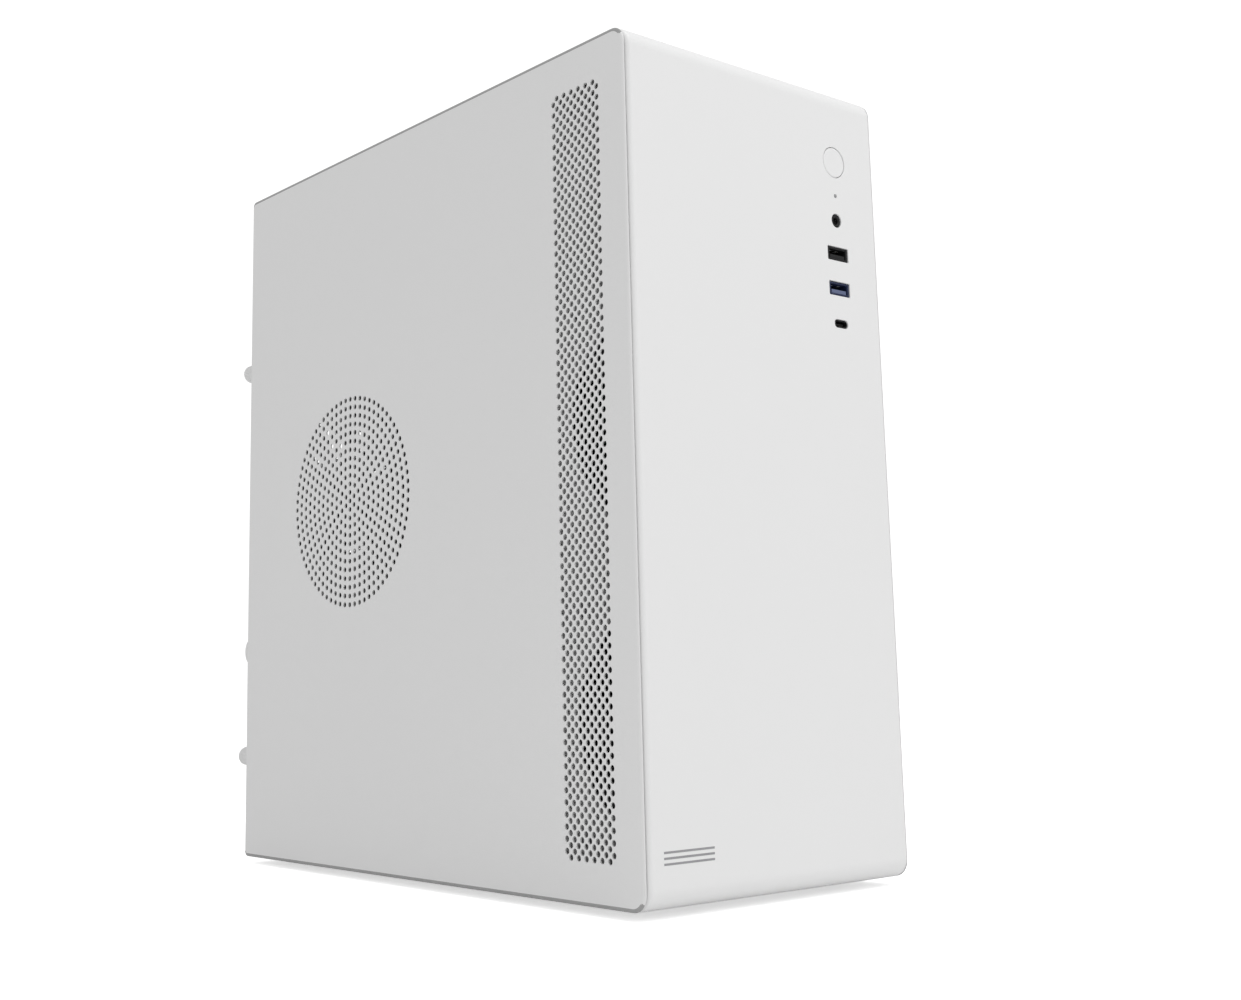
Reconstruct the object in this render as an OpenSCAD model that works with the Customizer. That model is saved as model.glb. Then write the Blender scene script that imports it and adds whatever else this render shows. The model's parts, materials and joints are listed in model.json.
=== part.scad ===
// Desktop computer tower: steel case with a pull-off front, two sliding side panels and its parts.
// X runs from the vented left panel to the right one, the front faces -Y, +Z is up.

/* [Case] */
// Width over the side panels
case_w = 178; // [172:1:230]
// Depth from the front face to the back edge of the side panels
case_d = 357; // [352:1:460]
// Height without the feet
case_h = 405; // [400:1:500]
// Thickness of the folded steel sheet
sheet_t = 0.8; // [0.6:0.1:1.1]
// Gap between visible neighbouring edges
seam = 0.6; // [0.4:0.1:1]
// Gap between a side panel and the frame behind it
fit_gap = 0.4; // [0.3:0.1:0.6]
// Height of a rubber foot
foot_h = 4; // [3:0.5:12]
// Diameter of a rubber foot
foot_d = 18; // [14:1:24]
// Distance of a foot's middle from the side of the case
foot_side = 40; // [30:1:50]
// Distance of a foot's middle from the front or the back
foot_end = 55; // [40:1:80]

/* [Side panels] */
// Width of the folded top and bottom edges
hem_w = 10; // [8:0.5:14]
// Width of the folded back lip
lip_w = 15; // [13:0.5:20]
// Distance of the panel's front edge behind the front face
panel_setback = 1.5; // [1:0.1:3]
// Corner radius at the front of a panel
panel_front_r = 8.5; // [4:0.5:10]
// Corner radius at the back of a panel
panel_back_r = 3; // [1:0.5:6]
// How far a panel slides back when it is taken off
panel_travel = 18; // [14:1:24]
// Length of a hook that holds a panel to the frame
hook_l = 8; // [6:1:12]

/* [Intake strip] */
// Distance of the first column of holes from the front face
strip_front = 21.2; // [20:0.1:24]
// Distance between holes in a row
strip_pitch = 5.4; // [4.6:0.1:5.6]
// Distance between two rows, which are staggered
strip_row = 2.7; // [2.4:0.1:3]
// Holes in a wide row
strip_cols = 7; // [4:1:7]
// Height of the lowest row above the case's bottom
strip_low = 20.6; // [18:0.2:40]
// Hole diameter in the strip
strip_hole_d = 3; // [2:0.1:3.2]

/* [Round vent] */
// Distance of the vent's middle from the back edge
vent_back = 117; // [90:1:130]
// Height of the vent's middle above the case's bottom
vent_z = 202; // [120:1:260]
// Number of rings of holes round the middle one
vent_rings = 12; // [4:1:12]
// Distance between rings
vent_pitch = 4.85; // [4.4:0.05:6]
// Hole diameter in the vent
vent_hole_d = 3; // [2:0.1:3.4]

/* [Front bezel] */
// Depth of the plastic front
bezel_d = 18; // [17:0.5:20]
// Wall thickness of the plastic front
bezel_t = 2.6; // [2:0.1:3]
// Radius of its top and bottom edges
bezel_r = 10; // [5:0.5:12]
// Radius of its two upright edges
bezel_side_r = 2.4; // [1:0.1:2.8]
// Depth of the air space behind the front
intake_d = 40; // [38:1:60]
// Distance of the port column from the right side of the case
column_inset = 32.5; // [28:0.5:60]
// Diameter of the power button
button_d = 16; // [12:0.5:18]
// Power button's middle below the top
button_drop = 40.4; // [34:0.2:50]
// How far the power button travels
button_travel = 1.5; // [1:0.1:2]
// Gap round the power button
button_gap = 0.3; // [0.2:0.05:0.5]
// Diameter of the status light
light_d = 2; // [1.6:0.1:3]
// Status light below the top
light_drop = 58.6; // [56:0.2:62]

/* [Front ports] */
// Outer diameter of the audio jack
jack_d = 6.8; // [6:0.1:7]
// Bore of the audio jack
jack_bore = 3.6; // [3.5:0.05:3.7]
// Audio jack below the top
jack_drop = 71.9; // [70:0.1:74]
// Width of a flat port's housing
usb_w = 15.2; // [14.6:0.1:16]
// Height of a flat port's housing
usb_h = 6.8; // [6.4:0.1:7.6]
// Black flat port below the top
usb_drop = 89.8; // [86:0.2:92]
// Blue flat port below the top
usb_fast_drop = 108.4; // [105:0.2:111]
// Width of the small oval port
usb_c_w = 9.7; // [9.4:0.1:11]
// Height of the small oval port
usb_c_h = 3.8; // [3.6:0.1:4.6]
// Small oval port below the top
usb_c_drop = 126.9; // [124:0.2:134]
// Gap round each port in the front
port_gap = 0.3; // [0.2:0.05:0.5]

/* [Main board] */
// Height and depth of the square main board
board_side = 244; // [226:1:244]
// Thickness of the board
board_t = 1.6; // [1.4:0.1:2]
// Height of the board's lower edge above the case's bottom
board_rise = 37; // [36:1:44]
// Distance from the board's back edge to the rear panel
board_back = 12; // [12:0.5:14]
// Height of a stand-off
standoff_h = 6.5; // [5:0.5:10]
// Distance from the board tray to the right side of the case
tray_gap = 18; // [15:0.5:20]
// Pitch of the expansion slots
slot_pitch = 20.32; // [19:0.01:20.32]
// Number of expansion slots
slot_count = 4; // [1:1:4]

/* [Power supply] */
// Width of the power supply
psu_w = 150; // [125:1:150]
// Height of the power supply
psu_h = 86; // [84:1:86]
// Depth of the power supply
psu_d = 140; // [140:1:160]

/* [Fans and drives] */
// Width of the front fan
front_fan_w = 120; // [92:1:120]
// Thickness of the front fan
front_fan_t = 25; // [15:1:25]
// Width of the rear fan
rear_fan_w = 92; // [80:1:92]
// Thickness of the rear fan
rear_fan_t = 25; // [15:1:30]
// Width of the processor fan
cpu_fan_w = 80; // [60:1:92]
// Radial clearance between a fan's shaft and its bearing
shaft_gap = 0.05; // [0.02:0.01:0.1]
// Width of the hard drive
drive_w = 101.6; // [70:0.1:102]
// Length of the hard drive
drive_l = 147; // [100:0.5:147]
// Height of the hard drive
drive_h = 26; // [15:0.5:26]
// Thickness of the solid state drive
ssd_t = 7; // [5:0.5:9.5]

/* [Hidden] */
$fn = 48;
HOLE_FN = 20;
CABLE_SIDES = 8;

left_x = -case_w / 2;
right_x = case_w / 2;
base_z = foot_h;
top_z = foot_h + case_h;
mid_z = (base_z + top_z) / 2;

// Thumbscrews stand out at the back and set the overall depth
thumb_d = 11;
thumb_out = 14;
thumb_inset = 7.5;
thumb_heights = [58, 296];
thumb_shank_d = 3.4;
thumb_hole_d = 4;
thumb_travel = 6;
front_y = -(case_d + thumb_out) / 2;
rear_y = front_y + case_d;

// Padlock eye near the left panel's back edge
lock_inset = 4.6;
lock_t = 1.6;
lock_z = base_z + 121;
lock_bore = 7;

// Steel frame behind the front and inside the panels
frame_y0 = front_y + bezel_d + seam;
frame_y1 = rear_y - sheet_t - fit_gap;
frame_x = right_x - sheet_t - fit_gap;
wall_y = frame_y0 + intake_d;
step_x = right_x - hem_w - seam;
step_down = 2 * sheet_t + fit_gap;
flange_h = 14;
fold_w = 10;
inner_x = frame_x - sheet_t - fit_gap;
fold_x = step_x - sheet_t - fit_gap;
inner_z0 = base_z + step_down + 0.2;
inner_z1 = top_z - step_down - 0.2;
hook_ys = [frame_y0 + 8, (frame_y0 + frame_y1) / 2, frame_y1 - 62];
hook_drop = 5;
hook_reach = 4;

// Front ports and their board
column_x = right_x - column_inset;
io_board_y = front_y + bezel_d - 3;
io_board_t = 1.6;
io_board_w = 26;
button_z = top_z - button_drop;
jack_z = top_z - jack_drop;
usb_z = top_z - usb_drop;
usb_fast_z = top_z - usb_fast_drop;
usb_c_z = top_z - usb_c_drop;
light_z = top_z - light_drop;
port_y = front_y + 0.4;
port_depth = 11;
bezel_x = right_x - sheet_t - seam;
pin_d = 5;
pin_inset = 13;
pin_zs = [base_z + 24, mid_z, top_z - 24];
switch_w = 7;
switch_y = io_board_y - 4.5;
plunger_d = 3.4;
plunger_out = button_travel + 0.3;
plunger_in = 1.7;
plunger_y = switch_y - plunger_out;
boss_l = 4;
plunger_gap = 0.2;

// Main board
tray_x = right_x - tray_gap;
board_x1 = tray_x - sheet_t - standoff_h;
board_x0 = board_x1 - board_t;
board_z0 = base_z + board_rise;
board_z1 = board_z0 + board_side;
board_y1 = frame_y1 - sheet_t - board_back;
board_y0 = board_y1 - board_side;
hole_cols = [10.16, 165.1, 227.33];
hole_rows = [6.35, 163.83, 209.55];
hole_offset = 22.86;
hole_ps = [for (c = [0:2]) for (r = [0:2])
    [board_y1 - hole_cols[c], board_z1 - hole_rows[r] - (c == 0 && r == 0 ? hole_offset : 0)]];
board_hole_d = 3.8;
standoff_d = 6;
screw_d = 3;
io_window = [44.45, 158.75];
io_x1 = board_x1 + 0.6;
io_x0 = io_x1 - io_window[0];
io_z1 = board_z1 + 1.2;
io_z0 = io_z1 - io_window[1];
cpu_y = rear_y - vent_back;
cpu_z = board_z1 - 77;
socket_w = 50;
socket_t = 5;
sink_base_t = 5;
sink_w = 84;
sink_h = 32;
sink_x1 = board_x0 - socket_t - 2.2;
sink_x0 = sink_x1 - sink_base_t - sink_h;
cpu_fan_t = 20;
memory_y = board_y0 + 38;
memory_pitch = 9.6;
memory_z = board_z1 - 6 - 133;
memory_h = 30;
slot_z0 = io_z0 - 3 - slot_pitch / 2;
slot_x0 = board_x1 - 118;
slot_w = 12.6;
bracket_w = 18.4;
shelf_out = 11;

// Power supply
psu_x0 = inner_x - psu_w - (lip_w - 3);
psu_y1 = frame_y1 - sheet_t;
psu_y0 = psu_y1 - psu_d;
psu_z1 = inner_z1 - sheet_t;
psu_z0 = psu_z1 - psu_h;
psu_t = 1;
psu_fan_w = min(120, psu_w - 8);
psu_mid = [psu_x0 + psu_w / 2, psu_y0 + psu_d / 2 - 4];
psu_screws = [[6, 6], [psu_w - 6, 6], [6, psu_h - 6], [psu_w - 36, psu_h - 6]];
inlet_x = psu_x0 + psu_w - 24;
inlet_z = psu_z0 + psu_h - 40;
inlet_size = [28, 20];
rocker_z = psu_z0 + 24;
rocker_size = [14, 20];
rocker_deg = 8;

// Fans
fan_inset = 4;
front_fan_x = inner_x - 24 - front_fan_w / 2 - 22;
front_fan_y = wall_y + sheet_t;
front_fan_z = base_z + 20 + front_fan_w / 2;
spare_fan_z = front_fan_z + front_fan_w + 24;
rear_fan_x = io_x0 - 4 - rear_fan_w / 2;
rear_fan_y = frame_y1 - sheet_t - rear_fan_t;
rear_fan_z = board_z1 - 10 - rear_fan_w / 2;
hub_d = 36;
cpu_hub_d = 30;
shaft_d = 3;

// Drives
drive_size = [drive_w, drive_l, drive_h];
drive_x0 = front_fan_x - drive_w / 2;
drive_y0 = front_fan_y + front_fan_t + 8;
drive_z0 = inner_z0 + sheet_t + 4;
cage_gap = 0.3;
ssd_size = [ssd_t, 100, 69.8];
ssd_y = board_y0 + 60;
ssd_z = board_z0 + 40;
drive_screw_ys = [drive_y0 + 28, drive_y0 + 88];
ssd_screws = [for (dy = [12, ssd_size[1] - 12]) for (dz = [6, ssd_size[2] - 6]) [ssd_y + dy, ssd_z + dz]];

WHITE = [0.9, 0.9, 0.9];
STEEL = [0.72, 0.73, 0.74];
BLACK = [0.07, 0.07, 0.08];
GREEN = [0.07, 0.22, 0.13];
BLUE = [0.1, 0.2, 0.55];
SILVER = [0.8, 0.81, 0.82];
BRASS = [0.8, 0.65, 0.3];

// ---- Shapes that repeat ----

// Block between two opposite corners
module block(lo, hi) {
    translate(lo) cube(hi - lo);
}

module rod_x(p, d, l) {
    translate(p) rotate([0, 90, 0]) cylinder(d = d, h = l);
}

module rod_y(p, d, l) {
    translate(p) rotate([-90, 0, 0]) cylinder(d = d, h = l);
}

module rod_z(p, d, l) {
    translate(p) cylinder(d = d, h = l);
}

// Upright outline with its own corner radii at the front (low Y) and the back
module side_outline(lo, hi, front_r, back_r) {
    mid = [lo[0] + front_r, hi[0] - back_r];
    translate([mid[0], lo[1]]) square([mid[1] - mid[0], hi[1] - lo[1]]);
    translate([lo[0], lo[1] + front_r]) square([front_r, hi[1] - lo[1] - 2 * front_r]);
    for (z = [lo[1] + front_r, hi[1] - front_r]) translate([mid[0], z]) circle(r = front_r);
    if (back_r > 0) {
        translate([mid[1], lo[1] + back_r]) square([back_r, hi[1] - lo[1] - 2 * back_r]);
        for (z = [lo[1] + back_r, hi[1] - back_r]) translate([mid[1], z]) circle(r = back_r);
    }
}

// Sheet lying in the YZ plane, from its outline
module sheet_x(x, t) {
    translate([x, 0, 0]) rotate([90, 0, 90]) linear_extrude(height = t) children();
}

// Rounded bar with its length along X, for oval ports
module oval_y(c, size, l) {
    r = size[1] / 2;
    block([c[0] - size[0] / 2 + r, c[1], c[2] - r], [c[0] + size[0] / 2 - r, c[1] + l, c[2] + r]);
    for (s = [-1, 1]) rod_y([c[0] + s * (size[0] / 2 - r), c[1], c[2]], size[1], l);
}

// Rings of round holes through a wall that lies across Z
module ring_holes(rings, pitch, d, l) {
    translate([0, 0, -l / 2]) cylinder(d = d, h = l, $fn = HOLE_FN);
    for (k = [1:rings]) for (i = [0:6 * k - 1])
        rotate(i * 60 / k) translate([k * pitch, 0, -l / 2]) cylinder(d = d, h = l, $fn = HOLE_FN);
}

// Four holes or screws at the corners of a square fan
function fan_corners(w) = [for (x = [-1, 1]) for (y = [-1, 1]) [x, y] * (w / 2 - fan_inset - 3)];

// Square fan housing with its air flow along +Z, standing on z = 0
module fan_frame(w, t, hub) {
    rim = 2.5;
    base_t = 2.5;
    strut_in = 0.3;
    bearing_d = 9;
    difference() {
        translate([-w / 2, -w / 2, 0]) cube([w, w, t]);
        translate([0, 0, -1]) cylinder(d = w - 2 * rim, h = t + 2, $fn = 96);
        for (p = fan_corners(w)) translate([p[0], p[1], -1]) cylinder(d = fan_inset, h = t + 2);
    }
    for (a = [45:90:315]) rotate(a) translate([hub / 2 - 2, -1.5, strut_in])
        cube([w / 2 - rim / 2 - hub / 2 + 2, 3, base_t - 2 * strut_in]);
    difference() {
        union() {
            cylinder(d = hub, h = base_t);
            cylinder(d = bearing_d, h = t * 0.6);
        }
        translate([0, 0, -1]) cylinder(d = shaft_d + 2 * shaft_gap, h = t);
    }
}

// Blades, hub and shaft that turn in the housing
module fan_rotor(w, t, hub, blades) {
    low = 3.5;
    high = t - 1.5;
    blade_r = w / 2 - 5;
    blade_t = 1.4;
    arc_r = 26;
    difference() {
        translate([0, 0, low]) cylinder(d = hub, h = high - low);
        translate([0, 0, low - 1]) cylinder(d = hub - 3, h = high - low - 1);
    }
    translate([0, 0, 0.6]) cylinder(d = shaft_d, h = high - 1.6);
    intersection() {
        for (i = [0:blades - 1]) rotate(i * 360 / blades) rotate([90, 0, 90])
            translate([-arc_r - 2, (low + high) / 2, hub / 2 - 1.2])
                linear_extrude(height = blade_r) intersection() {
                    difference() {
                        translate([0, -arc_r * 0.45]) circle(r = arc_r + blade_t);
                        translate([0, -arc_r * 0.45]) circle(r = arc_r);
                    }
                    translate([0, low - (low + high) / 2 + 0.5]) square([2 * arc_r, high - low - 1]);
                }
        difference() {
            translate([0, 0, low]) cylinder(r = blade_r, h = high - low, $fn = 96);
            translate([0, 0, low - 1]) cylinder(d = hub - 1, h = high - low + 2);
        }
    }
}

// Smooth curve through hand-placed points
function spline(a, b, c, d, t) = 0.5 * (2 * b + (c - a) * t + (2 * a - 5 * b + 4 * c - d) * t * t
    + (3 * b - a - 3 * c + d) * t * t * t);
function curve(p, n) = concat(
    [for (i = [0:len(p) - 2]) for (k = [0:n - 1])
        spline(p[max(i - 1, 0)], p[i], p[i + 1], p[min(i + 2, len(p) - 1)], k / n)],
    [p[len(p) - 1]]);
function unit(v) = v / norm(v);

// Round or flat cable swept along points; side_v is a direction that the route never follows
module cable(points, size, side_v) {
    c = curve(points, 4);
    n = len(c);
    s = CABLE_SIDES;
    rings = [for (i = [0:n - 1])
        let (t = unit(c[min(i + 1, n - 1)] - c[max(i - 1, 0)]),
             u = unit(cross(t, side_v)),
             v = cross(u, t))
        for (k = [0:s - 1]) c[i] + u * size[0] / 2 * cos(k * 360 / s) + v * size[1] / 2 * sin(k * 360 / s)];
    sides = [for (i = [0:n - 2]) for (k = [0:s - 1]) let (m = (k + 1) % s)
        [i * s + k, i * s + m, (i + 1) * s + m, (i + 1) * s + k]];
    caps = [[for (k = [s - 1:-1:0]) k], [for (k = [0:s - 1]) (n - 1) * s + k]];
    polyhedron(points = rings, faces = concat(sides, caps));
}

// ---- Steel frame ----

// Cross-section shared by the top and the bottom, with its outer face on y = 0
module plate_section() {
    for (m = [0, 1]) mirror([m, 0]) {
        translate([-1, -sheet_t]) square([step_x + 1, sheet_t]);
        translate([step_x - sheet_t, -step_down]) square([sheet_t, step_down]);
        translate([step_x - sheet_t, -step_down]) square([frame_x - step_x + sheet_t, sheet_t]);
        translate([frame_x - sheet_t, -flange_h]) square([sheet_t, flange_h - step_down + sheet_t]);
    }
}

plate_y1 = frame_y1 - sheet_t;

// Upright sheet across the case: full width between the side flanges, and a middle that meets the plates
module cross_sheet(y, z0, z1) {
    block([-inner_x, y, inner_z0], [inner_x, y + sheet_t, inner_z1]);
    block([-fold_x, y, z0], [fold_x, y + sheet_t, z1]);
}

// Edges of such a sheet, folded over against the inside of the plates
module cross_folds(y0, y1) {
    block([-fold_x, y0, base_z + sheet_t], [fold_x, y1, base_z + 2 * sheet_t]);
    block([-fold_x, y0, top_z - 2 * sheet_t], [fold_x, y1, top_z - sheet_t]);
}

// Slots in the side flanges that the panels' hooks pass through
module hook_slots(z0, z1) {
    for (y = hook_ys) for (s = [-1, 1])
        block([s * frame_x - 3, y - 1, z0], [s * frame_x + 3, y + hook_l + panel_travel + 1, z1]);
}

module top_plate() {
    color(STEEL) difference() {
        translate([0, plate_y1, top_z]) rotate([90, 0, 0])
            linear_extrude(height = plate_y1 - frame_y0) plate_section();
        hook_slots(top_z - flange_h + 1.5, top_z - step_down - 1);
    }
}

foot_ps = [for (x = [left_x + foot_side, right_x - foot_side])
    for (y = [front_y + foot_end, rear_y - foot_end]) [x, y]];
foot_stem_d = 5;

module base_plate() {
    color(STEEL) difference() {
        translate([0, plate_y1, base_z]) rotate([90, 0, 0]) mirror([0, 1])
            linear_extrude(height = plate_y1 - frame_y0) plate_section();
        hook_slots(base_z + step_down + 1, base_z + flange_h - 1.5);
        for (p = foot_ps) rod_z([p[0], p[1], base_z - 1], foot_stem_d, 4);
        for (i = [0:11]) for (s = [-1, 1])
            block([s * 14 - 9, wall_y + 40 + i * 6, base_z - 1],
                  [s * 14 + 9, wall_y + 43 + i * 6, base_z + 2]);
    }
}

module feet() {
    color(BLACK) for (p = foot_ps) {
        rod_z([p[0], p[1], 0], foot_d, base_z);
        rod_z([p[0], p[1], base_z], foot_stem_d, sheet_t);
        rod_z([p[0], p[1], base_z + sheet_t], foot_stem_d + 2, 1);
    }
}

frame_window_x = column_x - io_board_w / 2 - 6;

module front_frame() {
    border = 20;
    color(STEEL) difference() {
        cross_sheet(frame_y0, base_z + sheet_t, top_z - sheet_t);
        block([border - inner_x, frame_y0 - 1, inner_z0 + border],
              [frame_window_x, frame_y0 + 2, inner_z1 - border]);
        block([frame_window_x - 1, frame_y0 - 1, inner_z0 + border],
              [inner_x - border, frame_y0 + 2, usb_c_z - 30]);
        for (z = pin_zs) for (s = [-1, 1])
            rod_y([s * (bezel_x - pin_inset), frame_y0 - 1, z], pin_d + 0.8, 4);
        rod_y([column_x, frame_y0 - 1, usb_c_z - 18], 12, 4);
    }
}

fan_wall_holes = [front_fan_z, spare_fan_z];
cable_slot_x = tray_x - 10;

module front_wall() {
    color(STEEL) {
        difference() {
            cross_sheet(wall_y, base_z + sheet_t, top_z - sheet_t);
            for (z = fan_wall_holes) {
                rod_y([front_fan_x, wall_y - 1, z], front_fan_w - 6, 4);
                for (p = fan_corners(front_fan_w))
                    rod_y([front_fan_x + p[0], wall_y - 1, z + p[1]], 4.4, 4);
            }
            block([cable_slot_x - 6, wall_y - 1, inner_z0 + 26],
                  [cable_slot_x + 6, wall_y + 2, inner_z1 - 40]);
        }
        cross_folds(wall_y + sheet_t, wall_y + fold_w);
    }
}

slot_low = slot_z0 - (slot_count - 1) * slot_pitch;
clamp_top = slot_z0 + slot_pitch;
shelf_y1 = frame_y1 + shelf_out;
grille_pitch = rear_fan_w / 13;

module rear_panel() {
    y0 = frame_y1 - sheet_t;
    color(STEEL) {
        difference() {
            union() {
                block([-frame_x, y0, inner_z0], [frame_x, frame_y1, inner_z1]);
                block([-step_x, y0, base_z], [step_x, frame_y1, top_z]);
            }
            block([psu_x0 + 12, y0 - 1, psu_z0 + 12], [psu_x0 + psu_w - 5, y0 + 2, psu_z1 - 12]);
            for (p = psu_screws) rod_y([psu_x0 + p[0], y0 - 1, psu_z0 + p[1]], 4.2, 4);
            block([io_x0, y0 - 1, io_z0], [io_x1, y0 + 2, io_z1]);
            translate([rear_fan_x, y0, rear_fan_z]) rotate([90, 0, 0])
                ring_holes(6, grille_pitch, grille_pitch * 0.78, 4);
            for (p = fan_corners(rear_fan_w)) rod_y([rear_fan_x + p[0], y0 - 1, rear_fan_z + p[1]], 4.4, 4);
            for (i = [0:slot_count - 1])
                block([slot_x0 - 6, y0 - 1, slot_z0 - i * slot_pitch - slot_w / 2],
                      [board_x1 - 4, y0 + 2, slot_z0 - i * slot_pitch + slot_w / 2]);
            for (s = [-1, 1]) for (z = thumb_heights)
                rod_y([s * (right_x - thumb_inset), y0 - 1, base_z + z], thumb_shank_d + 0.4, 4);
            rod_y([clamp_screw_x, y0 - 1, clamp_screw_z], screw_d + 0.8, 4);
            block([left_x + lock_inset, y0 - 1, lock_z - 5],
                  [left_x + lock_inset + lock_t, y0 + 2, lock_z + 5]);
        }
        block([slot_x0, frame_y1, slot_low - slot_pitch / 2 - 2],
              [slot_x0 + 1.5, shelf_y1, clamp_top + 6]);
        cross_folds(y0 - fold_w, y0);
    }
}

module board_tray() {
    x0 = tray_x - sheet_t;
    y0 = front_fan_y + fold_w + 2;
    y1 = frame_y1 - sheet_t;
    z0 = base_z + sheet_t;
    z1 = psu_z0 - 3;
    color(STEEL) {
        difference() {
            union() {
                block([x0, y0, z0], [tray_x, y1 - fold_w, z1]);
                block([x0, y1 - fold_w - 1, inner_z0], [tray_x, y1, z1]);
            }
            for (p = hole_ps) rod_x([x0 - 1, p[0], p[1]], screw_d, 3);
            block([x0 - 1, cpu_y - 42, cpu_z - 40], [tray_x + 1, cpu_y + 42, cpu_z + 40]);
            for (z = [base_z + 60, base_z + 150, base_z + 225])
                block([x0 - 1, y0 + 8, z], [tray_x + 1, y0 + 24, z + 46]);
            for (p = ssd_screws) rod_x([x0 - 1, p[0], p[1]], screw_d + 0.4, 3);
        }
        block([x0, y0, z0], [fold_x, y0 + sheet_t, z1]);
        block([x0, y0, z0], [fold_x, y1 - fold_w, z0 + sheet_t]);
    }
}

// Ledge that carries the power supply, folded down on the right to meet the tray
module psu_shelf() {
    z0 = psu_z0 - sheet_t;
    color(STEEL) difference() {
        union() {
            block([psu_x0 + 4, psu_y0 + 4, z0], [tray_x, frame_y1 - sheet_t, psu_z0]);
            block([tray_x - sheet_t, psu_y0 + 4, psu_z0 - 3], [tray_x, frame_y1 - sheet_t, psu_z0]);
            block([psu_x0 + 4, frame_y1 - 2 * sheet_t, z0 - 10],
                  [tray_x - sheet_t - seam, frame_y1 - sheet_t, psu_z0]);
        }
        rod_z([psu_mid[0], psu_mid[1], z0 - 1], psu_fan_w - 2, 3);
    }
}

cage_x0 = drive_x0 - cage_gap - sheet_t;
cage_x1 = drive_x0 + drive_w + cage_gap + sheet_t;
cage_y1 = drive_y0 + drive_l - 20;

module drive_cage() {
    z0 = base_z + sheet_t;
    z1 = drive_z0 + drive_size[2] + 3;
    color(STEEL) difference() {
        union() {
            for (x = [cage_x0, cage_x1 - sheet_t])
                block([x, drive_y0 + 6, z0], [x + sheet_t, cage_y1, z1]);
            block([cage_x0, drive_y0 + 6, z1 - sheet_t], [cage_x1, cage_y1, z1]);
            block([cage_x0 - 5, drive_y0 + 6, z0], [cage_x0 + sheet_t, cage_y1, z0 + sheet_t]);
            block([cage_x1 - sheet_t, drive_y0 + 6, z0], [cage_x1 + 5, cage_y1, z0 + sheet_t]);
        }
        for (y = drive_screw_ys) rod_x([cage_x0 - 1, y, drive_z0 + 6.5], screw_d, cage_x1 - cage_x0 + 2);
        for (y = [drive_y0 + 22:24:cage_y1 - 20])
            block([drive_x0 + 12, y, z1 - 2], [drive_x0 + drive_w - 12, y + 14, z1 + 1]);
    }
}

// Rivet heads where the folded edges meet the top and the bottom
module frame_rivets() {
    head_d = 5;
    head_h = 1;
    far_x = fold_x - 20;
    ys = [wall_y + fold_w / 2 + 1, frame_y1 - fold_w / 2 - sheet_t];
    color(SILVER) for (x = [-far_x, 0, far_x]) for (y = ys) {
        rod_z([x, y, top_z - 2 * sheet_t - head_h], head_d, head_h);
        rod_z([x, y, base_z + 2 * sheet_t], head_d, head_h);
    }
}

// Eye that passes through the left panel's back lip and takes a padlock
module lock_loop() {
    x0 = left_x + lock_inset;
    mid_y = frame_y1 + 4;
    color(SILVER) {
        difference() {
            union() {
                block([x0, frame_y1, lock_z - 8], [x0 + lock_t, mid_y, lock_z + 8]);
                intersection() {
                    rod_x([x0, mid_y, lock_z], 16, lock_t);
                    block([x0, mid_y, lock_z - 8], [x0 + lock_t, mid_y + 8, lock_z + 8]);
                }
            }
            rod_x([x0 - 1, mid_y + 1.2, lock_z], lock_bore, lock_t + 2);
        }
        block([x0, plate_y1 - lock_t, lock_z - 5], [x0 + lock_t, frame_y1, lock_z + 5]);
        block([x0, plate_y1 - lock_t, lock_z - 8], [x0 + 9, plate_y1, lock_z + 8]);
    }
}

// ---- Side panels ----

module strip_holes() {
    rows = floor((case_h - 2 * strip_low) / strip_row);
    for (r = [0:rows]) for (c = [0:strip_cols - (r % 2 == 0 ? 2 : 1)])
        translate([0, front_y + strip_front + strip_pitch * (c + (r % 2 == 0 ? 0.5 : 0)),
                   base_z + strip_low + r * strip_row])
            rotate([0, 90, 0]) cylinder(d = strip_hole_d, h = 4, center = true, $fn = HOLE_FN);
}

// Left-hand panel; the right-hand one is its mirror image without the round vent
module panel_shell(with_vent) {
    x1 = left_x + sheet_t;
    difference() {
        union() {
            sheet_x(left_x, sheet_t) side_outline([front_y + panel_setback, base_z], [rear_y, top_z],
                                                  panel_front_r, panel_back_r);
            for (z = [base_z, top_z - sheet_t])
                block([left_x, frame_y0, z], [left_x + hem_w, rear_y - panel_back_r, z + sheet_t]);
            block([left_x, rear_y - sheet_t, base_z + panel_back_r],
                  [left_x + lip_w, rear_y, top_z - panel_back_r]);
        }
        translate([left_x, 0, 0]) strip_holes();
        if (with_vent) translate([left_x, rear_y - vent_back, base_z + vent_z]) rotate([0, 90, 0])
            ring_holes(vent_rings, vent_pitch, vent_hole_d, 4);
        for (z = thumb_heights) rod_y([left_x + thumb_inset, rear_y - 2, base_z + z], thumb_hole_d, 4);
        if (with_vent) block([left_x + lock_inset - 1, rear_y - 2, lock_z - 9],
                             [left_x + lock_inset + lock_t + 1, rear_y + 1, lock_z + 9]);
    }
    for (y = hook_ys) for (z = [base_z + flange_h - 2.5 - hook_drop, top_z - flange_h + 2.5]) {
        block([x1, y, z], [x1 + hook_reach, y + hook_l, z + hook_drop]);
        block([x1 + hook_reach - 2, y - 5, z], [x1 + hook_reach, y, z + hook_drop]);
    }
}

module left_side_panel() {
    color(WHITE) panel_shell(true);
}

module right_side_panel() {
    color(WHITE) mirror([1, 0, 0]) panel_shell(false);
}

// Knurled screw with a washer face, its head behind the panel's lip
module thumbscrew(side, z) {
    head_l = thumb_out - 1.5;
    translate([side * (right_x - thumb_inset), rear_y, base_z + z]) {
        rod_y([0, 0, 0], 9, 1.5);
        rod_y([0, 1.5, 0], thumb_d, head_l);
        rod_y([0, -7, 0], thumb_shank_d, 7);
    }
}

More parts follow.
